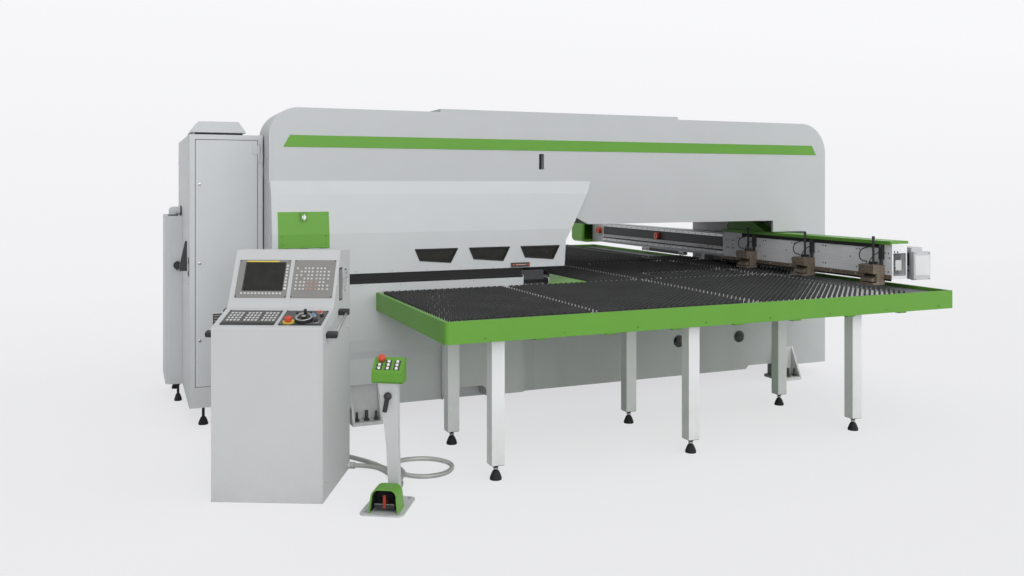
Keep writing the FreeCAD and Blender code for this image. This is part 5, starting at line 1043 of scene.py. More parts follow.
@dataclass
class HoodFittings(Fittings):
    """Gaskets, hatch knuckles, latch bezel, screws, painted slot shadow, throat guide and sensor lenses."""

    first: float = -1.535
    pitch: float = 0.420
    width: float = 0.319
    top: float = 1.242
    height: float = 0.097
    pin: Span = (-0.9835, 1.281)
    foot: float = -(0.87 + 0.115)
    foot_height: float = 1.085
    lean: float = 0.010
    tall: float = 0.287

    def face(self, height: float, off: float = 0.0) -> float:
        """Return y of the hood's lower face at a height, or of a place a little in front of it."""
        return self.foot + self.lean * (height - self.foot_height) / self.tall - off

    def window(self, shape: Shaper, start: float) -> None:
        """Lay a gasket along the four edges of one window, from x of its upper left corner."""
        low = self.top - self.height
        flat = [(start, self.top), (start + 0.033, low + 0.020), (start + self.width - 0.053, low),
                (start + self.width, self.top)]
        corners = [Vector((x, self.face(z, 0.0015), z)) for x, z in flat]
        for first, second in zip(corners, corners[1:] + corners[:1]):
            way = second - first
            turn = Matrix.Translation(first) @ way.to_track_quat("X", "Z").to_matrix().to_4x4()
            shape.block((-0.005, way.length + 0.005), (-0.004, 0.004), (-0.006, 0.006), "soft_rubber",
                        turn=turn)

    def build(self) -> None:
        """Build the hood's small parts."""
        with self.piece("window_gaskets", Slot.RUBBER) as gaskets:
            for index in range(3):
                self.window(gaskets, self.first + index * self.pitch)
        with self.piece("hatch_knuckles", Slot.GREEN, Rides.HATCH) as knuckles:
            for x in (-2.500, -2.365, -2.230):
                knuckles.round((x, *self.pin), RIGHT, 0.0075, 0.05, "green_paint", sides=18)
            knuckles.bolts([(x, self.face(z, 0.0045), z) for x, z in product((-2.49, -2.19), (1.305, 1.36))],
                           FRONT, 0.005, "green_paint")
        with self.piece("latch_bezel", Slot.PLASTIC, Rides.HATCH) as bezel:
            bezel.blocks("moulded_black", 0.002, (-2.3648, -2.3152, -0.9618, -0.9475, 1.4583, 1.5227))
        with self.piece("hood_screws", Slot.BODY) as screws:
            screws.bolts([(-2.50 + index * 0.262, self.face(1.10, 0.0005), 1.100) for index in range(9)]
                         + [(-2.50 + index * 0.280, -1.0205, 1.005) for index in range(7)],
                         FRONT, 0.0045, "press_paint")
        # Dark strips on the skirt rail's top edge are painted shadow that widens the slot under the hood.
        with self.piece("slot_shadow_strip", Slot.RUBBER) as lip:
            lip.blocks("soft_rubber", 0.0006, (-2.545, -0.700, -1.0216, -1.0202, 1.0150, 1.0303))
            lip.blocks("soft_rubber", 0, (-2.545, -0.700, -1.0212, -0.9610, 1.0302, 1.0310))
        with self.piece("throat_guide", Slot.DARK) as guide:
            guide.blocks("dark_frame_paint", 0.002, (-0.690, -0.500, -0.9640, -0.9400, 0.745, 0.9560),
                         (-0.690, -0.500, -0.9640, -0.9400, 0.9860, 1.0600))
            guide.blocks("blackened_steel", 0.001, (-0.506, -0.500, -0.9660, -0.9380, 0.745, 0.9570))
            guide.blocks("dark_frame_paint", 0.002, (-0.1300, -0.1215, -0.260, 0.960, 0.730, 0.9145))
        with self.piece("sensor_lenses", Slot.SENSOR) as lenses:
            for x in (-0.769, -0.647):
                lenses.round((x, -1.0010, 1.108), FRONT, 0.0075, 0.003, "signal_red", sides=20)
            lenses.blocks("rose_film", 0.0004, (-0.752, -0.664, -1.0018, -1.0005, 1.1040, 1.1120))


# ---------------------------------------------------------------- beam and carriage


@dataclass
class BeamFittings(Fittings):
    """Rail plates, rack teeth, screws, cartridge rings, underside and end cap of the beam."""

    face: float = 2.000
    near: float = -2.180
    far: float = 2.600
    teeth: int = 396
    tooth_pitch: float = 0.012

    def rack(self) -> bmesh.types.BMesh:
        """Make the row of teeth along the beam."""
        form = bmesh.new()
        bmesh.ops.create_cube(form, size=1.0)
        bmesh.ops.scale(form, vec=(0.005, 0.006, 0.024), verts=form.verts)
        bmesh.ops.translate(form, vec=(self.face - 0.0225, self.near + 0.006, 1.086), verts=form.verts)
        base = form.verts[:] + form.edges[:] + form.faces[:]
        for index in range(1, self.teeth):
            copied = bmesh.ops.duplicate(form, geom=base)["geom"]
            bmesh.ops.translate(form, vec=(0, self.tooth_pitch * index, 0),
                                verts=only(bmesh.types.BMVert, copied))
        return form

    def build(self) -> None:
        """Build the beam's small parts."""
        with self.piece("rail_face_plates", Slot.DARK, Rides.BRIDGE) as plates:
            for z in ((1.0565, 1.0705), (1.1015, 1.1985)):
                plates.block((self.face - 0.004, self.face - 0.0002), (self.near, self.far), z,
                             "dark_frame_paint", 0.001)
        with self.piece("rack_teeth", Slot.STEEL, Rides.BRIDGE) as teeth:
            teeth.keep(self.rack(), "ground_steel")
        with self.piece("rail_screws", Slot.STEEL, Rides.BRIDGE) as screws:
            for z, index in product((1.041, 1.213), range(40)):
                # Each screw is a flat near-black disc: painted shade in its counterbore.
                screws.round((self.face - 0.0252, self.near + 0.06 + index * 0.118, z), LEFT, 0.0065,
                             0.0006, "black_and_painted_shade", ease=0, sides=12)
        with self.piece("cartridge_rings", Slot.RED, Rides.BRIDGE) as rings:
            for y in (1.340, 2.700):
                rings.hoop((self.face - 0.0390, y, 1.145), RIGHT, 0.034, 0.0035, "signal_white")
                rings.round((self.face - 0.0428, y, 1.145), LEFT, 0.012, 0.0008, "moulded_black",
                            ease=0.0003)
        with self.piece("beam_underside", Slot.DARK, Rides.BRIDGE) as under:
            under.blocks("dark_frame_paint", 0.003, (1.990, 2.030, 0.930, 1.525, 0.9650, 0.9990))
            under.blocks("press_paint", 0.003, (1.986, 2.045, 1.530, 1.680, 0.9640, 0.9995))
            under.blocks("ground_steel", 0.003, (1.986, 2.045, 0.845, 0.925, 0.9640, 0.9995))
            under.bolts([(1.986, y, 0.982) for y in (0.870, 0.900, 1.560, 1.650)], LEFT, 0.0065,
                        "blackened_steel")
        with self.piece("beam_cap_details", Slot.BODY, Rides.BRIDGE) as caps:
            caps.blocks("leg_paint", 0.0012, (2.003, 2.150, -2.2335, -2.2302, 1.030, 1.180))
            caps.bolts([(x, -2.2302, z) for x, z in product((2.004, 2.148), (1.006, 1.198))], FRONT, 0.0055)


@dataclass
class CarriageFittings(Fittings):
    """Tapped holes, clamp rail, painted lid shadow, clamp parts, air lines and open end of the carriage."""

    face: float = 1.805
    near: float = -2.200
    far: float = -0.110
    rows: tuple[float, ...] = (-2.055, -1.300, -0.545)
    air_routes: tuple[tuple[tuple[Point, ...], float], ...] = (
        (((1.797, 0.035, 1.245), (1.785, 0.075, 1.240), (1.770, 0.135, 1.215), (1.765, 0.150, 1.165),
          (1.762, 0.110, 1.125), (1.756, 0.060, 1.135), (1.752, 0.045, 1.118)), 0.0045),
        (((1.795, -0.030, 1.205), (1.775, -0.012, 1.190), (1.760, 0.008, 1.165),
          (1.752, 0.022, 1.135), (1.750, 0.030, 1.118)), 0.0035))

    def holes(self) -> None:
        """Build the tapped holes and screws of the face."""
        spots = [(y, z) for y in (-0.170, -0.195, -0.255, -0.280) for z in (1.120, 1.190)]
        for row in self.rows:
            spots += [(row + along, z) for along in (-0.200, -0.170, 0.180, 0.210) for z in (1.075, 1.215)]
            spots += [(row + 0.280, 1.150), (row - 0.120, 1.165)]
        spots += [(-2.130, 1.06), (-2.165, 1.06), (-2.130, 1.20), (-2.165, 1.20)]
        with self.piece("carriage_holes", Slot.ALUMINIUM, Rides.CARRIAGE) as shape:
            for y, z in spots:
                # Each tapped hole is a flat near-black disc, painted shade, inside a pale aluminium ring.
                shape.round((self.face - 0.0002, y, z), LEFT, 0.0062, 0.0008, "black_and_painted_shade", ease=0,
                            sides=12)
                shape.hoop((self.face - 0.0006, y, z), RIGHT, 0.0072, 0.0008, "machined_aluminium", 14)

    def rail(self) -> None:
        """Build the clamp rail with its rows of index holes, and the dark strip of painted shadow under the
        lid.
        """
        back, clear, pitch = self.face - 0.0002, 0.080, 0.030
        starts = [self.near + 0.004, *(row + clear for row in self.rows)]
        ends = [*(row - clear for row in self.rows), self.far - 0.004]
        with self.piece("clamp_slot_rail", Slot.BLACKED, Rides.CARRIAGE) as shape:
            shape.block((self.face - 0.008, back), (self.near, self.far), (1.0065, 1.038),
                        "blackened_steel", 0.0015)
            for low, high in zip(starts, ends):
                for index in range(int((high - low) / pitch)):
                    # Index holes are flat near-black discs of painted shade; every ninth one is white.
                    shape.round((self.face - 0.0082, low + pitch / 2 + index * pitch, 1.022), LEFT, 0.0045,
                                0.0008, "signal_white" if index % 9 == 4 else "black_and_painted_shade", ease=0,
                                sides=8)
                shape.block((self.face - 0.012, back), (low, high), (0.992, 1.0062), "soft_rubber")
        # A near-black strip under the green lid is painted shadow.
        with self.piece("lid_shadow_strip", Slot.RUBBER, Rides.CARRIAGE) as seal:
            seal.block((self.face - 0.007, back), (self.near + 0.12, self.far - 0.30), (1.236, 1.268),
                       "black_and_painted_shade")

    def clamps(self) -> None:
        """Build the clamp screws, air lines and brackets."""
        with self.piece("clamp_brackets", Slot.PLASTIC, Rides.CARRIAGE) as brackets, \
                self.piece("air_lines", Slot.PLASTIC, Rides.CARRIAGE) as lines, \
                self.piece("clamp_screws", Slot.BLACKED, Rides.CARRIAGE) as screws:
            for row in self.rows:
                for along in (-0.056, 0.056):
                    for x in (1.712, 1.745):
                        screws.bolt((x, row + along, 1.1102), UP, 0.0075, "blackened_steel")
                    screws.bolt((1.6898, row + along, 1.078), LEFT, 0.0065, "blackened_steel")
                screws.block((1.6862, 1.6898), (row - 0.045, row + 0.045), (1.050, 1.1065),
                             "blackened_steel", 0.0015)
                for route, radius in self.air_routes:
                    lines.line([(x, row + along, z) for x, along, z in route], radius, "moulded_black")
                lines.stack(1.752, row + 0.045, "ground_steel", (1.1102, 0.0085, 0.012, 6))
                lines.stack(1.750, row + 0.030, "ground_steel", (1.1102, 0.0065, 0.010, 6))
                brackets.block((1.782, 1.8048), (row - 0.072, row - 0.034), (1.150, 1.262),
                               "moulded_black")
                brackets.bolt((1.7818, row - 0.053, 1.250), LEFT, 0.0045)
                brackets.stack(1.766, row, "moulded_black", (1.303, 0.0112, 0.020, 18))

    def build(self) -> None:
        """Build everything that rides on the carriage."""
        self.holes()
        self.rail()
        self.clamps()
        low, high, y = 1.036, 1.197, self.near - 0.0012
        tall = (low - 0.004, high + 0.004)
        with self.piece("carriage_mouth_trim", Slot.PLASTIC, Rides.CARRIAGE) as trim:
            for x, z in (((1.819, 1.823), tall), ((1.937, 1.941), tall),
                         ((1.819, 1.941), (low - 0.004, low)), ((1.819, 1.941), (high, high + 0.004))):
                trim.block(x, (y, y + 0.006), z, "moulded_black", 0.001)
            for index in range(3):
                trim.line([(1.845 + index * 0.022, -2.19, 1.09 + index * 0.03),
                           (1.850 + index * 0.02, -2.10, 1.07 + index * 0.03),
                           (1.842 + index * 0.025, -1.90, 1.06 + index * 0.02),
                           (1.850 + index * 0.02, -1.60, 1.055)], 0.007, "moulded_black")
            trim.blocks("light_key_film", 0.003, (1.850, 1.910, -2.192, -2.178, 1.070, 1.150))


# ---------------------------------------------------------------- cabinets


@dataclass
class CabinetFittings(Fittings):
    """Locks, hinge pins, gap seal, trim with a line of painted shade under the cowl, vent and isolator plate
    of the two cabinets.
    """

    left: float = -3.071
    front: float = -0.615
    door: Span = (-3.030, -2.610)
    door_z: Span = (0.296, 2.034)
    vent: tuple[Span, Span] = ((-2.915, -2.715), (0.700, 0.805))

    def louvres(self) -> None:
        """Build the vent in the door: a dark back of painted shade, a pale rim and five slats."""
        (left, right), (low, high) = self.vent
        face, rim = self.front - 0.0002, 0.008
        with self.piece("door_vent", Slot.PANEL, Rides.DOOR) as vent:
            # The near-black back behind the slats is painted shade.
            vent.block((left, right), (face - 0.001, face), (low, high), "black_and_painted_shade", 0)
            vent.rim(((left - rim, right + rim), (low - rim, high + rim)), self.vent, (face - 0.004, face),
                     "light_key_film", 0.0008, 2, upright=True)
            for index in range(5):
                z = low + 0.010 + index * (high - low - 0.010) / 5
                vent.block((left + 0.004, right - 0.004), (face - 0.0036, face - 0.001), (z, z + 0.011),
                           "panel_film", 0.0008)

    def build(self) -> None:
        """Build the cabinets' small parts."""
        with self.piece("door_locks", Slot.STEEL, Rides.DOOR) as locks:
            for z in (0.62, 1.165, 1.72):
                locks.round((self.door[0] + 0.028, self.front - 0.0002, z), FRONT, 0.011, 0.005,
                            "ground_steel")
                # A near-black keyhole is painted shade.
                locks.round((self.door[0] + 0.028, self.front - 0.0052, z), FRONT, 0.006, 0.0006,
                            "black_and_painted_shade", ease=0, sides=3)
            for z in (0.42, 1.88):
                locks.stack(-2.600, self.front - 0.012, "ground_steel", (z + 0.120, 0.0055, 0.006, 24))
        gap, half, deep = 0.0025, 0.0012, (self.front + 0.006, self.front + 0.025)
        with self.piece("door_gap_seal", Slot.RUBBER) as seal:
            for x in (self.door[0] - gap, self.door[1] + gap):
                seal.block((x - half, x + half), deep, self.door_z, "black_and_painted_shade", 0)
            for z in (self.door_z[0] - gap, self.door_z[1] + gap):
                seal.block(self.door, deep, (z - half, z + half), "black_and_painted_shade", 0)
        with self.piece("cabinet_trim", Slot.BODY) as trim:
            trim.bolts([(self.left - 0.0002, y, z) for y, z in (
                (-0.55, 1.02), (-0.55, 1.90), (0.80, 1.02), (0.80, 1.90), (-0.55, 0.25), (0.80, 0.25))],
                       LEFT, 0.006, "press_paint")
            trim.blocks("press_paint", 0.0008, (-3.073, -3.0712, -0.588, -0.580, 0.155, 2.065))
            trim.block((self.left + 0.004, self.left + 0.010), (self.front - 0.0015, self.front),
                       (0.155, 2.065), "press_paint", 0.0006)
            # A near-black strip under the cowl is painted shade.
            trim.blocks("black_and_painted_shade", 0.001, (-3.035, -2.712, -0.5972, -0.5900, 2.0725, 2.0845))
            trim.hoop((-3.135, 0.420, 1.474), UP, 0.035, 0.005, "moulded_black")
            trim.hoop((-3.076, 0.420, 1.510), RIGHT, 0.035, 0.005, "moulded_black")
        self.louvres()
        with self.piece("isolator_plate", Slot.PLASTIC) as plate:
            plate.blocks("moulded_black", 0.001, (-3.0745, -3.0712, -0.600, -0.496, 1.070, 1.200))
            plate.bolts([(-3.0745, y, z) for y, z in product((-0.590, -0.506), (1.080, 1.190))], LEFT, 0.003)


# ---------------------------------------------------------------- console


@dataclass
class ConsolePanels(Fittings):
    """Screen, keyboard, key strip, operator panel, grips and trim of the console."""

    panel_low: float = 0.060
    panel_height: float = 0.232
    screen_left: float = 0.030
    screen_width: float = 0.300
    keys_left: float = 0.353
    keys_width: float = 0.242
    key_columns: tuple[float, ...] = (0.018, 0.043, 0.064, 0.085, 0.106, 0.134, 0.155, 0.176, 0.202)
    key_gaps: tuple[tuple[int, int], ...] = ((6, 8), (6, 1), (5, 0), (4, 2), (3, 1), (2, 8))
    thick: float = 0.004
    desk_low: float = 0.033
    desk_deep: float = 0.177
    strip_left: float = 0.033
    strip_width: float = 0.302
    operator_left: float = 0.357
    operator_width: float = 0.238
    stop: Span = (0.406, 0.068)
    wheel: Span = (0.486, 0.092)
    collars: tuple[Point, ...] = ((0.523, 0.150, 0.012), (0.551, 0.186, 0.012), (0.556, 0.072, 0.015))
    knobs: tuple[Point, ...] = ((0.497, 0.178, 0.0100, 0.0070), (0.574, 0.140, 0.0110, 0.0120),
                                (0.428, 0.172, 0.0090, 0.0090))

    def corners(self, shape: Shaper, x: Span, y: Span, inset: float = 0.006) -> None:
        """Add a small screw to each corner of a panel."""
        shape.bolts([(across, up, self.thick) for across, up in product(
            (x[0] + inset, x[1] - inset), (y[0] + inset, y[1] - inset))], UP, 0.0034, "moulded_black")

    def raised(self, height: float) -> Span:
        """Return the span of what stands on a panel's face."""
        return (self.thick, self.thick + height)

    def monitor(self) -> None:
        """Build the screen panel with its bezel, strip and soft keys."""
        left, low, lip = self.screen_left, self.panel_low, 0.004
        x, y = (left, left + self.screen_width), (low, low + self.panel_height)
        view_x, view_y = (left + 0.042, left + 0.270), (low + 0.044, low + 0.214)
        wide_x = (view_x[0] - lip, view_x[1] + lip)
        with self.piece("monitor_panel", Slot.PANEL, place=SCREEN) as shape:
            shape.rim((x, y), (view_x, view_y), (0.0, self.thick), "panel_film")
            shape.block(view_x, view_y, (0.0, 0.0008), "black_and_painted_shade", 0)
            for span_x, span_y in (((wide_x[0], view_x[0]), view_y), ((view_x[1], wide_x[1]), view_y),
                                   (wide_x, (view_y[0] - lip, view_y[0])),
                                   (wide_x, (view_y[1], view_y[1] + lip))):
                shape.block(span_x, span_y, self.raised(0.002), "moulded_black", 0.0008)
            shape.block((left + 0.043, left + 0.233), (y[1] - 0.0145, y[1] - 0.0065),
                        self.raised(0.0004), "yellow_film", 0)
            for index in range(12):
                start = left + 0.032 + index * 0.0205
                shape.block((start, start + 0.0115), (low + 0.020, low + 0.031), self.raised(0.0025),
                            "light_key_film", 0.001)
            for index in range(8):
                start = low + 0.050 + index * 0.020
                shape.block((left + 0.279, left + 0.2915), (start, start + 0.0115), self.raised(0.0025),
                            "light_key_film" if index else "signal_white", 0.001)
            self.corners(shape, x, y, 0.007)
        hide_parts("screen_panel")

    def keyboard(self) -> None:
        """Build the keyboard with separate caps in two tones."""
        left, low = self.keys_left, self.panel_low
        x, y = (left, left + self.keys_width), (low, low + self.panel_height)
        with self.piece("keyboard_unit", Slot.PANEL, place=SCREEN) as shape:
            shape.block(x, y, (0.0, self.thick), "panel_film", 0.0008)
            for row, (column, start) in product(range(7), enumerate(self.key_columns)):
                if (row, column) in self.key_gaps:
                    continue
                across, up = left + start, low + 0.048 + row * 0.0212
                shape.block((across, across + 0.0105), (up, up + 0.0100), self.raised(0.0026),
                            "rose_film" if row < 3 and column in (3, 4, 5) else "light_key_film", 0.0012)
            self.corners(shape, x, y)
        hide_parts("keyboard_panel")

    def strip(self) -> None:
        """Build the desk's key strip: a film with rows of small keys and lamps."""
        x = (self.strip_left, self.strip_left + self.strip_width)
        y = (self.desk_low, self.desk_low + self.desk_deep)
        with self.piece("key_strip", Slot.PANEL, place=DESK) as shape:
            shape.block(x, y, (0.0, self.thick), "desk_film", 0.0008)
            shape.block((x[0] + 0.003, x[1] - 0.003), (y[0] - 0.0005, y[0] + 0.026),
                        (0.0005, self.thick + 0.0012), "moulded_black", 0.001)
            for column, row in product(range(12), range(4)):
                across = x[0] + 0.020 + column * 0.0205 + column // 4 * 0.016
                up = y[0] + 0.044 + row * 0.0295
                shape.block((across, across + 0.0135), (up, up + 0.0165), self.raised(0.0030),
                            "light_key_film", 0.0014)
                shape.round((across + 0.0068, up + 0.0215, self.thick), UP, 0.0014, 0.0008,
                            "signal_red" if (row + column) % 4 == 0 else "black_and_painted_shade", ease=0, sides=8)
            self.corners(shape, x, y)
        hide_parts("desk_keys")

    def operator(self) -> None:
        """Build the operator panel with its collars."""
        x = (self.operator_left, self.operator_left + self.operator_width)
        y = (self.desk_low, self.desk_low + self.desk_deep)
        well = tuple((middle - 0.0135, middle + 0.0135) for middle in self.stop)
        with self.piece("control_panel", Slot.PANEL, place=DESK) as shape:
            shape.rim((x, y), well, (0.0, self.thick), "desk_film")
            # The near-black well round the stop button is painted shade.
            shape.block(*well, (0.0, 0.0008), "black_and_painted_shade", 0)
            shape.annulus((*self.stop, self.thick), 0.0128, 0.0320, 0.0026, "yellow_film")
            shape.stack(*self.wheel, "black_and_painted_shade", (self.thick, 0.0530, 0.0020, 40))
            for across, up, radius in self.collars:
                shape.hoop((across, up, self.thick + 0.0008), UP, radius + 0.0022, 0.0019, "ground_steel")
            for index in range(10):
                turn = math.radians(-60 + index * 33)
                across, up = self.stop[0] + 0.046 * math.sin(turn), self.stop[1] + 0.040 * math.cos(turn)
                if 0.365 < across < 0.435:
                    shape.round((across, up, self.thick), UP, 0.0022, 0.0006, "light_key_film", ease=0,
                                sides=8)
            for across, up, radius, height in self.knobs:
                shape.stack(across, up, "moulded_black", (self.thick, radius, height, 24))
            shape.block((x[0] + 0.004, x[1] - 0.004), (y[0] - 0.0005, y[0] + 0.006),
                        (0.0005, self.thick + 0.0012), "moulded_black", 0.001)
            self.corners(shape, x, y)
        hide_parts("operator_panel")

    def controls(self) -> None:
        """Build the parts on the stop button and the hand wheel."""
        with self.piece("stop_cap_dome", Slot.RED, Rides.ESTOP, DESK) as cap:
            cap.round((*self.stop, self.thick + 0.0270), UP, 0.0188, 0.0035, "signal_red", ease=0.0014,
                      top=0.0140)
            cap.hoop((*self.stop, self.thick + 0.0150), UP, 0.0198, 0.0012, "signal_red")
        with self.piece("handwheel_dial", Slot.PLASTIC, Rides.WHEEL, DESK) as wheel:
            wheel.hoop((*self.wheel, 0.0240), UP, 0.0472, 0.0022, "ground_steel", 40)
            for index in range(40):
                turn = (Matrix.Translation((*self.wheel, 0))
                        @ Matrix.Rotation(math.radians(9 * index), 4, "Z"))
                wheel.block((-0.0006, 0.0006), (0.0380, 0.0445 if index % 5 else 0.0425), (0.0195, 0.0242),
                            "signal_white", 0, turn=turn)
            wheel.stack(*self.wheel, "ground_steel", (0.0300, 0.0130, 0.0015, 24))

    def glass(self) -> None:
        """Build the screen's pane."""
        left, low = self.screen_left + 0.042, self.panel_low + 0.044
        with self.piece("screen_pane", Slot.SCREEN, place=SCREEN) as shape:
            shape.block((left + 0.0005, left + 0.2275), (low + 0.0005, low + 0.1695), (0.001, 0.0032),
                        "screen_glass_face", 0.0006)
        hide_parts("screen_glass")

    def grips(self) -> None:
        """Build the two side grips: rounded blocks with a pale tube between them."""
        width, out, height = 0.612, 0.048, -0.070
        with self.piece("side_grips", Slot.PLASTIC, place=DESK) as shape:
            for wall, far, way in ((0.0, -out, LEFT), (width, width + out, RIGHT)):
                inner, outer = sorted((wall, far + math.copysign(0.014, far - wall)))
                for end in (0.064, 0.352):
                    shape.block((inner, outer), (end - 0.020, end + 0.020), (height - 0.015, height + 0.015),
                                "moulded_black", 0.007, 3)
                    shape.bolt((outer if far > wall else inner, end, height), way, 0.004)
                shape.round((far, 0.066, height), BACK, 0.0085, 0.284, "ground_steel")
        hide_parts("console_handles")

    def housing(self) -> None:
        """Build the housing's seams, plinth, side slot and screws."""
        coat = "console_powder_coat"
        with self.piece("console_trim", Slot.CONSOLE, place=CONSOLE) as shape:
            for x in (0.0035, 0.6085):
                shape.block((x - 0.0035, x + 0.0035), (-0.0012, 0.0004), (0.004, 0.936), coat, 0.0006)
            shape.blocks(coat, 0.0006, (0.0, 0.612, -0.0012, 0.0004, 0.002, 0.010))
            for z, y in product((0.10, 0.86), (0.05, 0.58)):
                shape.bolt((0.6122, y, z), RIGHT, 0.005, coat)
                shape.bolt((-0.0002, y, z), LEFT, 0.005, coat)
            # The near-black border round the side slot's cover is painted shade in its gap.
            shape.blocks("black_and_painted_shade", 0.0004, (0.6118, 0.6128, 0.368, 0.442, 1.045, 1.235))
            shape.blocks("panel_film", 0.0004, (0.6120, 0.6134, 0.376, 0.434, 1.053, 1.227))
            for z in (0.20, 1.15):
                shape.round((0.60, 0.6302, z), BACK, 0.011, 0.005, "ground_steel")
            shape.blocks(coat, 0.0006, (0.020, 0.592, 0.6300, 0.6312, 0.060, 1.290))

    def build(self) -> None:
        """Build everything on the console."""
        for part in (self.monitor, self.keyboard, self.strip, self.operator, self.controls, self.glass,
                     self.grips, self.housing):
            part()


# ---------------------------------------------------------------- foot switch stand


@dataclass
class StandFittings(Fittings):
    """Button caps, stop dome, screws, tread and the painted shade inside the guard of the foot switch stand.
    """

    shift: float = -0.026
    pitch: float = 0.049
    first: float = 0.029
    row: float = 0.022
    middle: float = 0.010

    def build(self) -> None:
        """Build the stand's small parts."""
        centre = (self.shift - self.pitch + 0.008, self.first + 2.6 * self.row)
        with self.piece("stand_button_caps", Slot.PLASTIC, place=BOX_TOP) as caps:
            for column, row in product(range(3), range(3)):
                if (column, row) == (0, 2):
                    continue
                x, y = self.shift + (column - 1) * self.pitch, self.first + row * self.row
                caps.block((x - 0.0175, x + 0.0175), (y - 0.0090, y + 0.0090), (0.0002, 0.0022),
                           "dark_frame_paint", 0.0006)
                caps.stack(x, y, "signal_white", (0.0010, 0.0084, 0.0058, 18))
            caps.stack(*centre, "moulded_black", (0.0002, 0.0200, 0.0030, 28))
        with self.piece("stand_stop_dome", Slot.RED, Rides.FOOT_ESTOP, BOX_TOP) as dome:
            dome.round((*centre, 0.0238), UP, 0.0188, 0.0040, "signal_red", ease=0.0014, top=0.0135)
        with self.piece("stand_screws", Slot.STEEL, place=STAND) as screws:
            for x, y in ((-0.088, -0.118), (0.088, -0.118), (0.088, 0.118), (-0.088, 0.118)):
                screws.stack(x, y, "ground_steel", (0.0081, 0.0085, 0.0012, 20))
                screws.bolt((x, y, 0.0092), UP, 0.0050)
            screws.bolts([(x, y, 0.6398) for x, y in product((-0.082, 0.050), (0.074, 0.150))],
                         (0, 0, -1), 0.004)
        with self.piece("pedal_ribs", Slot.RED, Rides.PEDAL, STAND) as tread:
            for index in range(5):
                y = -0.104 + index * 0.0085
                tread.blocks("moulded_black", 0.0006, (-0.019, 0.0030, y, y + 0.004, 0.0465, 0.0482),
                             (0.0170, 0.0390, y, y + 0.004, 0.0465, 0.0482))
            tread.blocks("shaded_red", 0.0012, (0.0025, 0.0175, -0.102, -0.051, 0.0462, 0.0550))
            tread.blocks("moulded_black", 0.003, (-0.044, 0.064, -0.106, -0.060, 0.0260, 0.0480))
            # A pale strip along the pad's top front edge is a painted highlight.
            tread.blocks("panel_film", 0.001, (-0.044, 0.064, -0.1072, -0.1035, 0.0482, 0.0515))
            tread.blocks("shaded_red", 0.003, (0.0020, 0.0180, -0.1085, -0.1005, 0.0270, 0.0980))
        self.shade_liner()

    def shade_liner(self) -> None:
        """Line the guard's inside with painted shade: a dark arch and a dark back."""
        low, high, half, lean, corner = 0.0082, 0.1226, 0.0735, 0.014, 0.033
        arch = [(half, low), (half - lean * 0.70, high - corner)]
        for step in range(5):
            turn = math.radians(18 * step + 9)
            arch.append((half - lean - corner + corner * math.cos(turn),
                         high - corner + corner * math.sin(turn)))
        outer = arch + [(-x, z) for x, z in reversed(arch)]
        inner = [(x * 0.985, low + (z - low) * 0.988) for x, z in outer]
        with self.piece("guard_shade_liner", Slot.PLASTIC, place=STAND) as shape:
            shape.slab([(self.middle + x, -0.106, z) for x, z in outer + inner[::-1]], (0, 0.0895, 0),
                       "black_and_painted_shade")
            shape.slab([(self.middle + x, -0.0165, z) for x, z in inner], (0, 0.0010, 0), "black_and_painted_shade")
            for centre in (self.middle - 0.038, self.middle + 0.038):
                shape.block((centre - 0.0064, centre + 0.0064), (-0.0526, -0.0166), (0.0082, 0.0564),
                            "black_and_painted_shade", 0)


# ---------------------------------------------------------------- studio


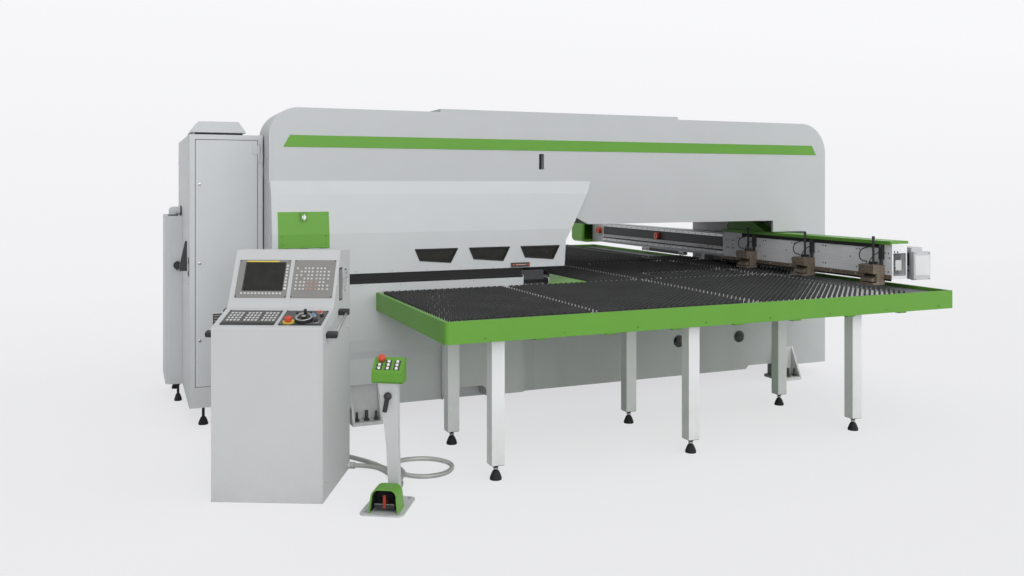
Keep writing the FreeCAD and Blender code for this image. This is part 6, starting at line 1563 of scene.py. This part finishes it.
@dataclass
class Studio:
    """Camera, soft lamps, pale floor and backdrop."""

    eye: Point = (-3.46, -7.30, 1.72)
    turn: float = -23.0367
    lens: float = 31.667
    shift: float = -0.1012
    floor_white: float = 0.82
    near_tone: float = 0.865
    far_tone: float = 0.888
    rise_tone: float = 0.055
    shadow_cut: float = 0.75
    sky: Colour = (0.40, 0.40, 0.40)
    mirrored_sky: Colour = (0.86, 0.86, 0.88)
    seen_sky: Colour = (0.925, 0.925, 0.943)

    def camera(self) -> None:
        """Place the level camera of the photograph's view."""
        lens = bpy.data.cameras.new("view")
        lens.sensor_width = 36.0
        lens.lens = self.lens
        lens.shift_y = self.shift
        lens.clip_end = 200.0
        holder = placed("view", lens)
        holder.location = self.eye
        holder.rotation_euler = (math.radians(90), 0.0, math.radians(self.turn))
        bpy.context.scene.camera = holder

    def lamp(self, name: str, aim: Point, strength: float, spread: float) -> None:
        """Add a soft sun by the way its light travels, its strength and its width in degrees."""
        light = bpy.data.lights.new(name, "SUN")
        light.energy = strength
        light.angle = math.radians(spread)
        placed(name, light).rotation_euler = Vector(aim).to_track_quat("-Z", "Y").to_euler()

    def floor(self) -> None:
        """Build the floor, which curves up into a backdrop behind the press."""
        form = bmesh.new()
        ends = [form.verts.new((x, -40.0, -0.0005)) for x in (-45.0, 45.0)]
        grown = bmesh.ops.extrude_edge_only(form, edges=[form.edges.new(ends)])["geom"]
        bmesh.ops.translate(form, vec=(0, 58.0, 0), verts=only(bmesh.types.BMVert, grown))
        curve = bmesh.ops.spin(form, geom=only(bmesh.types.BMEdge, grown), cent=(0, 18.0, 9.0),
                               axis=RIGHT, angle=math.radians(90), steps=24)["geom_last"]
        rise = bmesh.ops.extrude_edge_only(form, edges=only(bmesh.types.BMEdge, curve))["geom"]
        bmesh.ops.translate(form, vec=(0, 0, 30.0), verts=only(bmesh.types.BMVert, rise))
        bmesh.ops.recalc_face_normals(form, faces=form.faces)
        for face in form.faces:
            face.smooth = True
        mesh = bpy.data.meshes.new("studio_floor")
        form.to_mesh(mesh)
        form.free()
        sheet = placed("studio_floor", mesh)
        mesh.materials.append(self.floor_finish())

    def floor_finish(self) -> bpy.types.Material:
        """Make the floor's finish: the eye sees shallower shadows, and a plain tone far behind."""
        white = self.floor_white
        made, work, shader = new_material("studio_white", Roughness=0.9, Specular_IOR_Level=0.0,
                                          Base_Color=(white, white, white * 1.012, 1.0))
        apart = work.add("SeparateXYZ", Vector=work.place()).outputs
        level = work.math("ADD", work.fit(apart["Y"], (-4.0, 18.0), (self.near_tone, self.far_tone)),
                          work.fit(apart["Z"], (0.0, 9.0), (0.0, self.rise_tone)))
        plain = work.add("CombineColor", Red=level, Green=level, Blue=work.math("MULTIPLY", level, 1.02))
        glow = work.add("Emission", Color=plain.outputs["Color"])
        seen = work.add("LightPath").outputs["Is Camera Ray"]
        mixed = work.add("MixShader")
        for index, value in enumerate((
                work.math("MULTIPLY", seen, work.fit(apart["Y"], (1.5, 9.0), (self.shadow_cut, 1.0))),
                shader.outputs[0], glow.outputs[0])):
            work.plug(mixed.inputs[index], value)
        work.plug(made.node_tree.nodes["Material Output"].inputs["Surface"], mixed.outputs[0])
        return made

    def world(self) -> None:
        """Light the scene evenly from a pale sky, which looks lighter to the eye and in mirrors."""
        world = bpy.data.worlds.new("pale_room")
        bpy.context.scene.world = world
        world.use_nodes = True
        work = Wiring(world.node_tree)
        path = work.add("LightPath").outputs
        mirror = work.math("MAXIMUM", path["Is Camera Ray"], path["Is Glossy Ray"])
        sky = work.blend(mirror, self.sky, self.mirrored_sky)
        work.fill(world.node_tree.nodes["Background"], Strength=1.0,
                  Color=work.blend(path["Is Camera Ray"], sky, self.seen_sky))

    def build(self) -> None:
        """Set up the whole studio."""
        bpy.context.scene.view_settings.view_transform = "Standard"
        self.camera()
        self.world()
        self.lamp("key_lamp", (0.08, 0.90, -0.62), 0.78, 50.0)
        self.lamp("top_lamp", (-0.20, 0.20, -1.0), 0.55, 80.0)
        self.lamp("side_lamp", (-0.90, 0.50, -0.35), 0.78, 60.0)
        self.lamp("low_lamp", (0.06, 1.00, -0.08), 0.88, 40.0)
        self.floor()


def main() -> None:
    """Dress the press and set up its studio."""
    logging.basicConfig(level=logging.INFO, format="%(message)s")
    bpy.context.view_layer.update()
    paints = Paintbox()
    Studio().build()
    for kind in (Conduits, CadDress, BrushTables, TableFittings, FrameFittings, HoodFittings, BeamFittings,
                 CarriageFittings, CabinetFittings, ConsolePanels, StandFittings):
        LOG.info("building %s", kind.__name__)
        kind(paints).build()


if __name__ == "__main__":
    main()
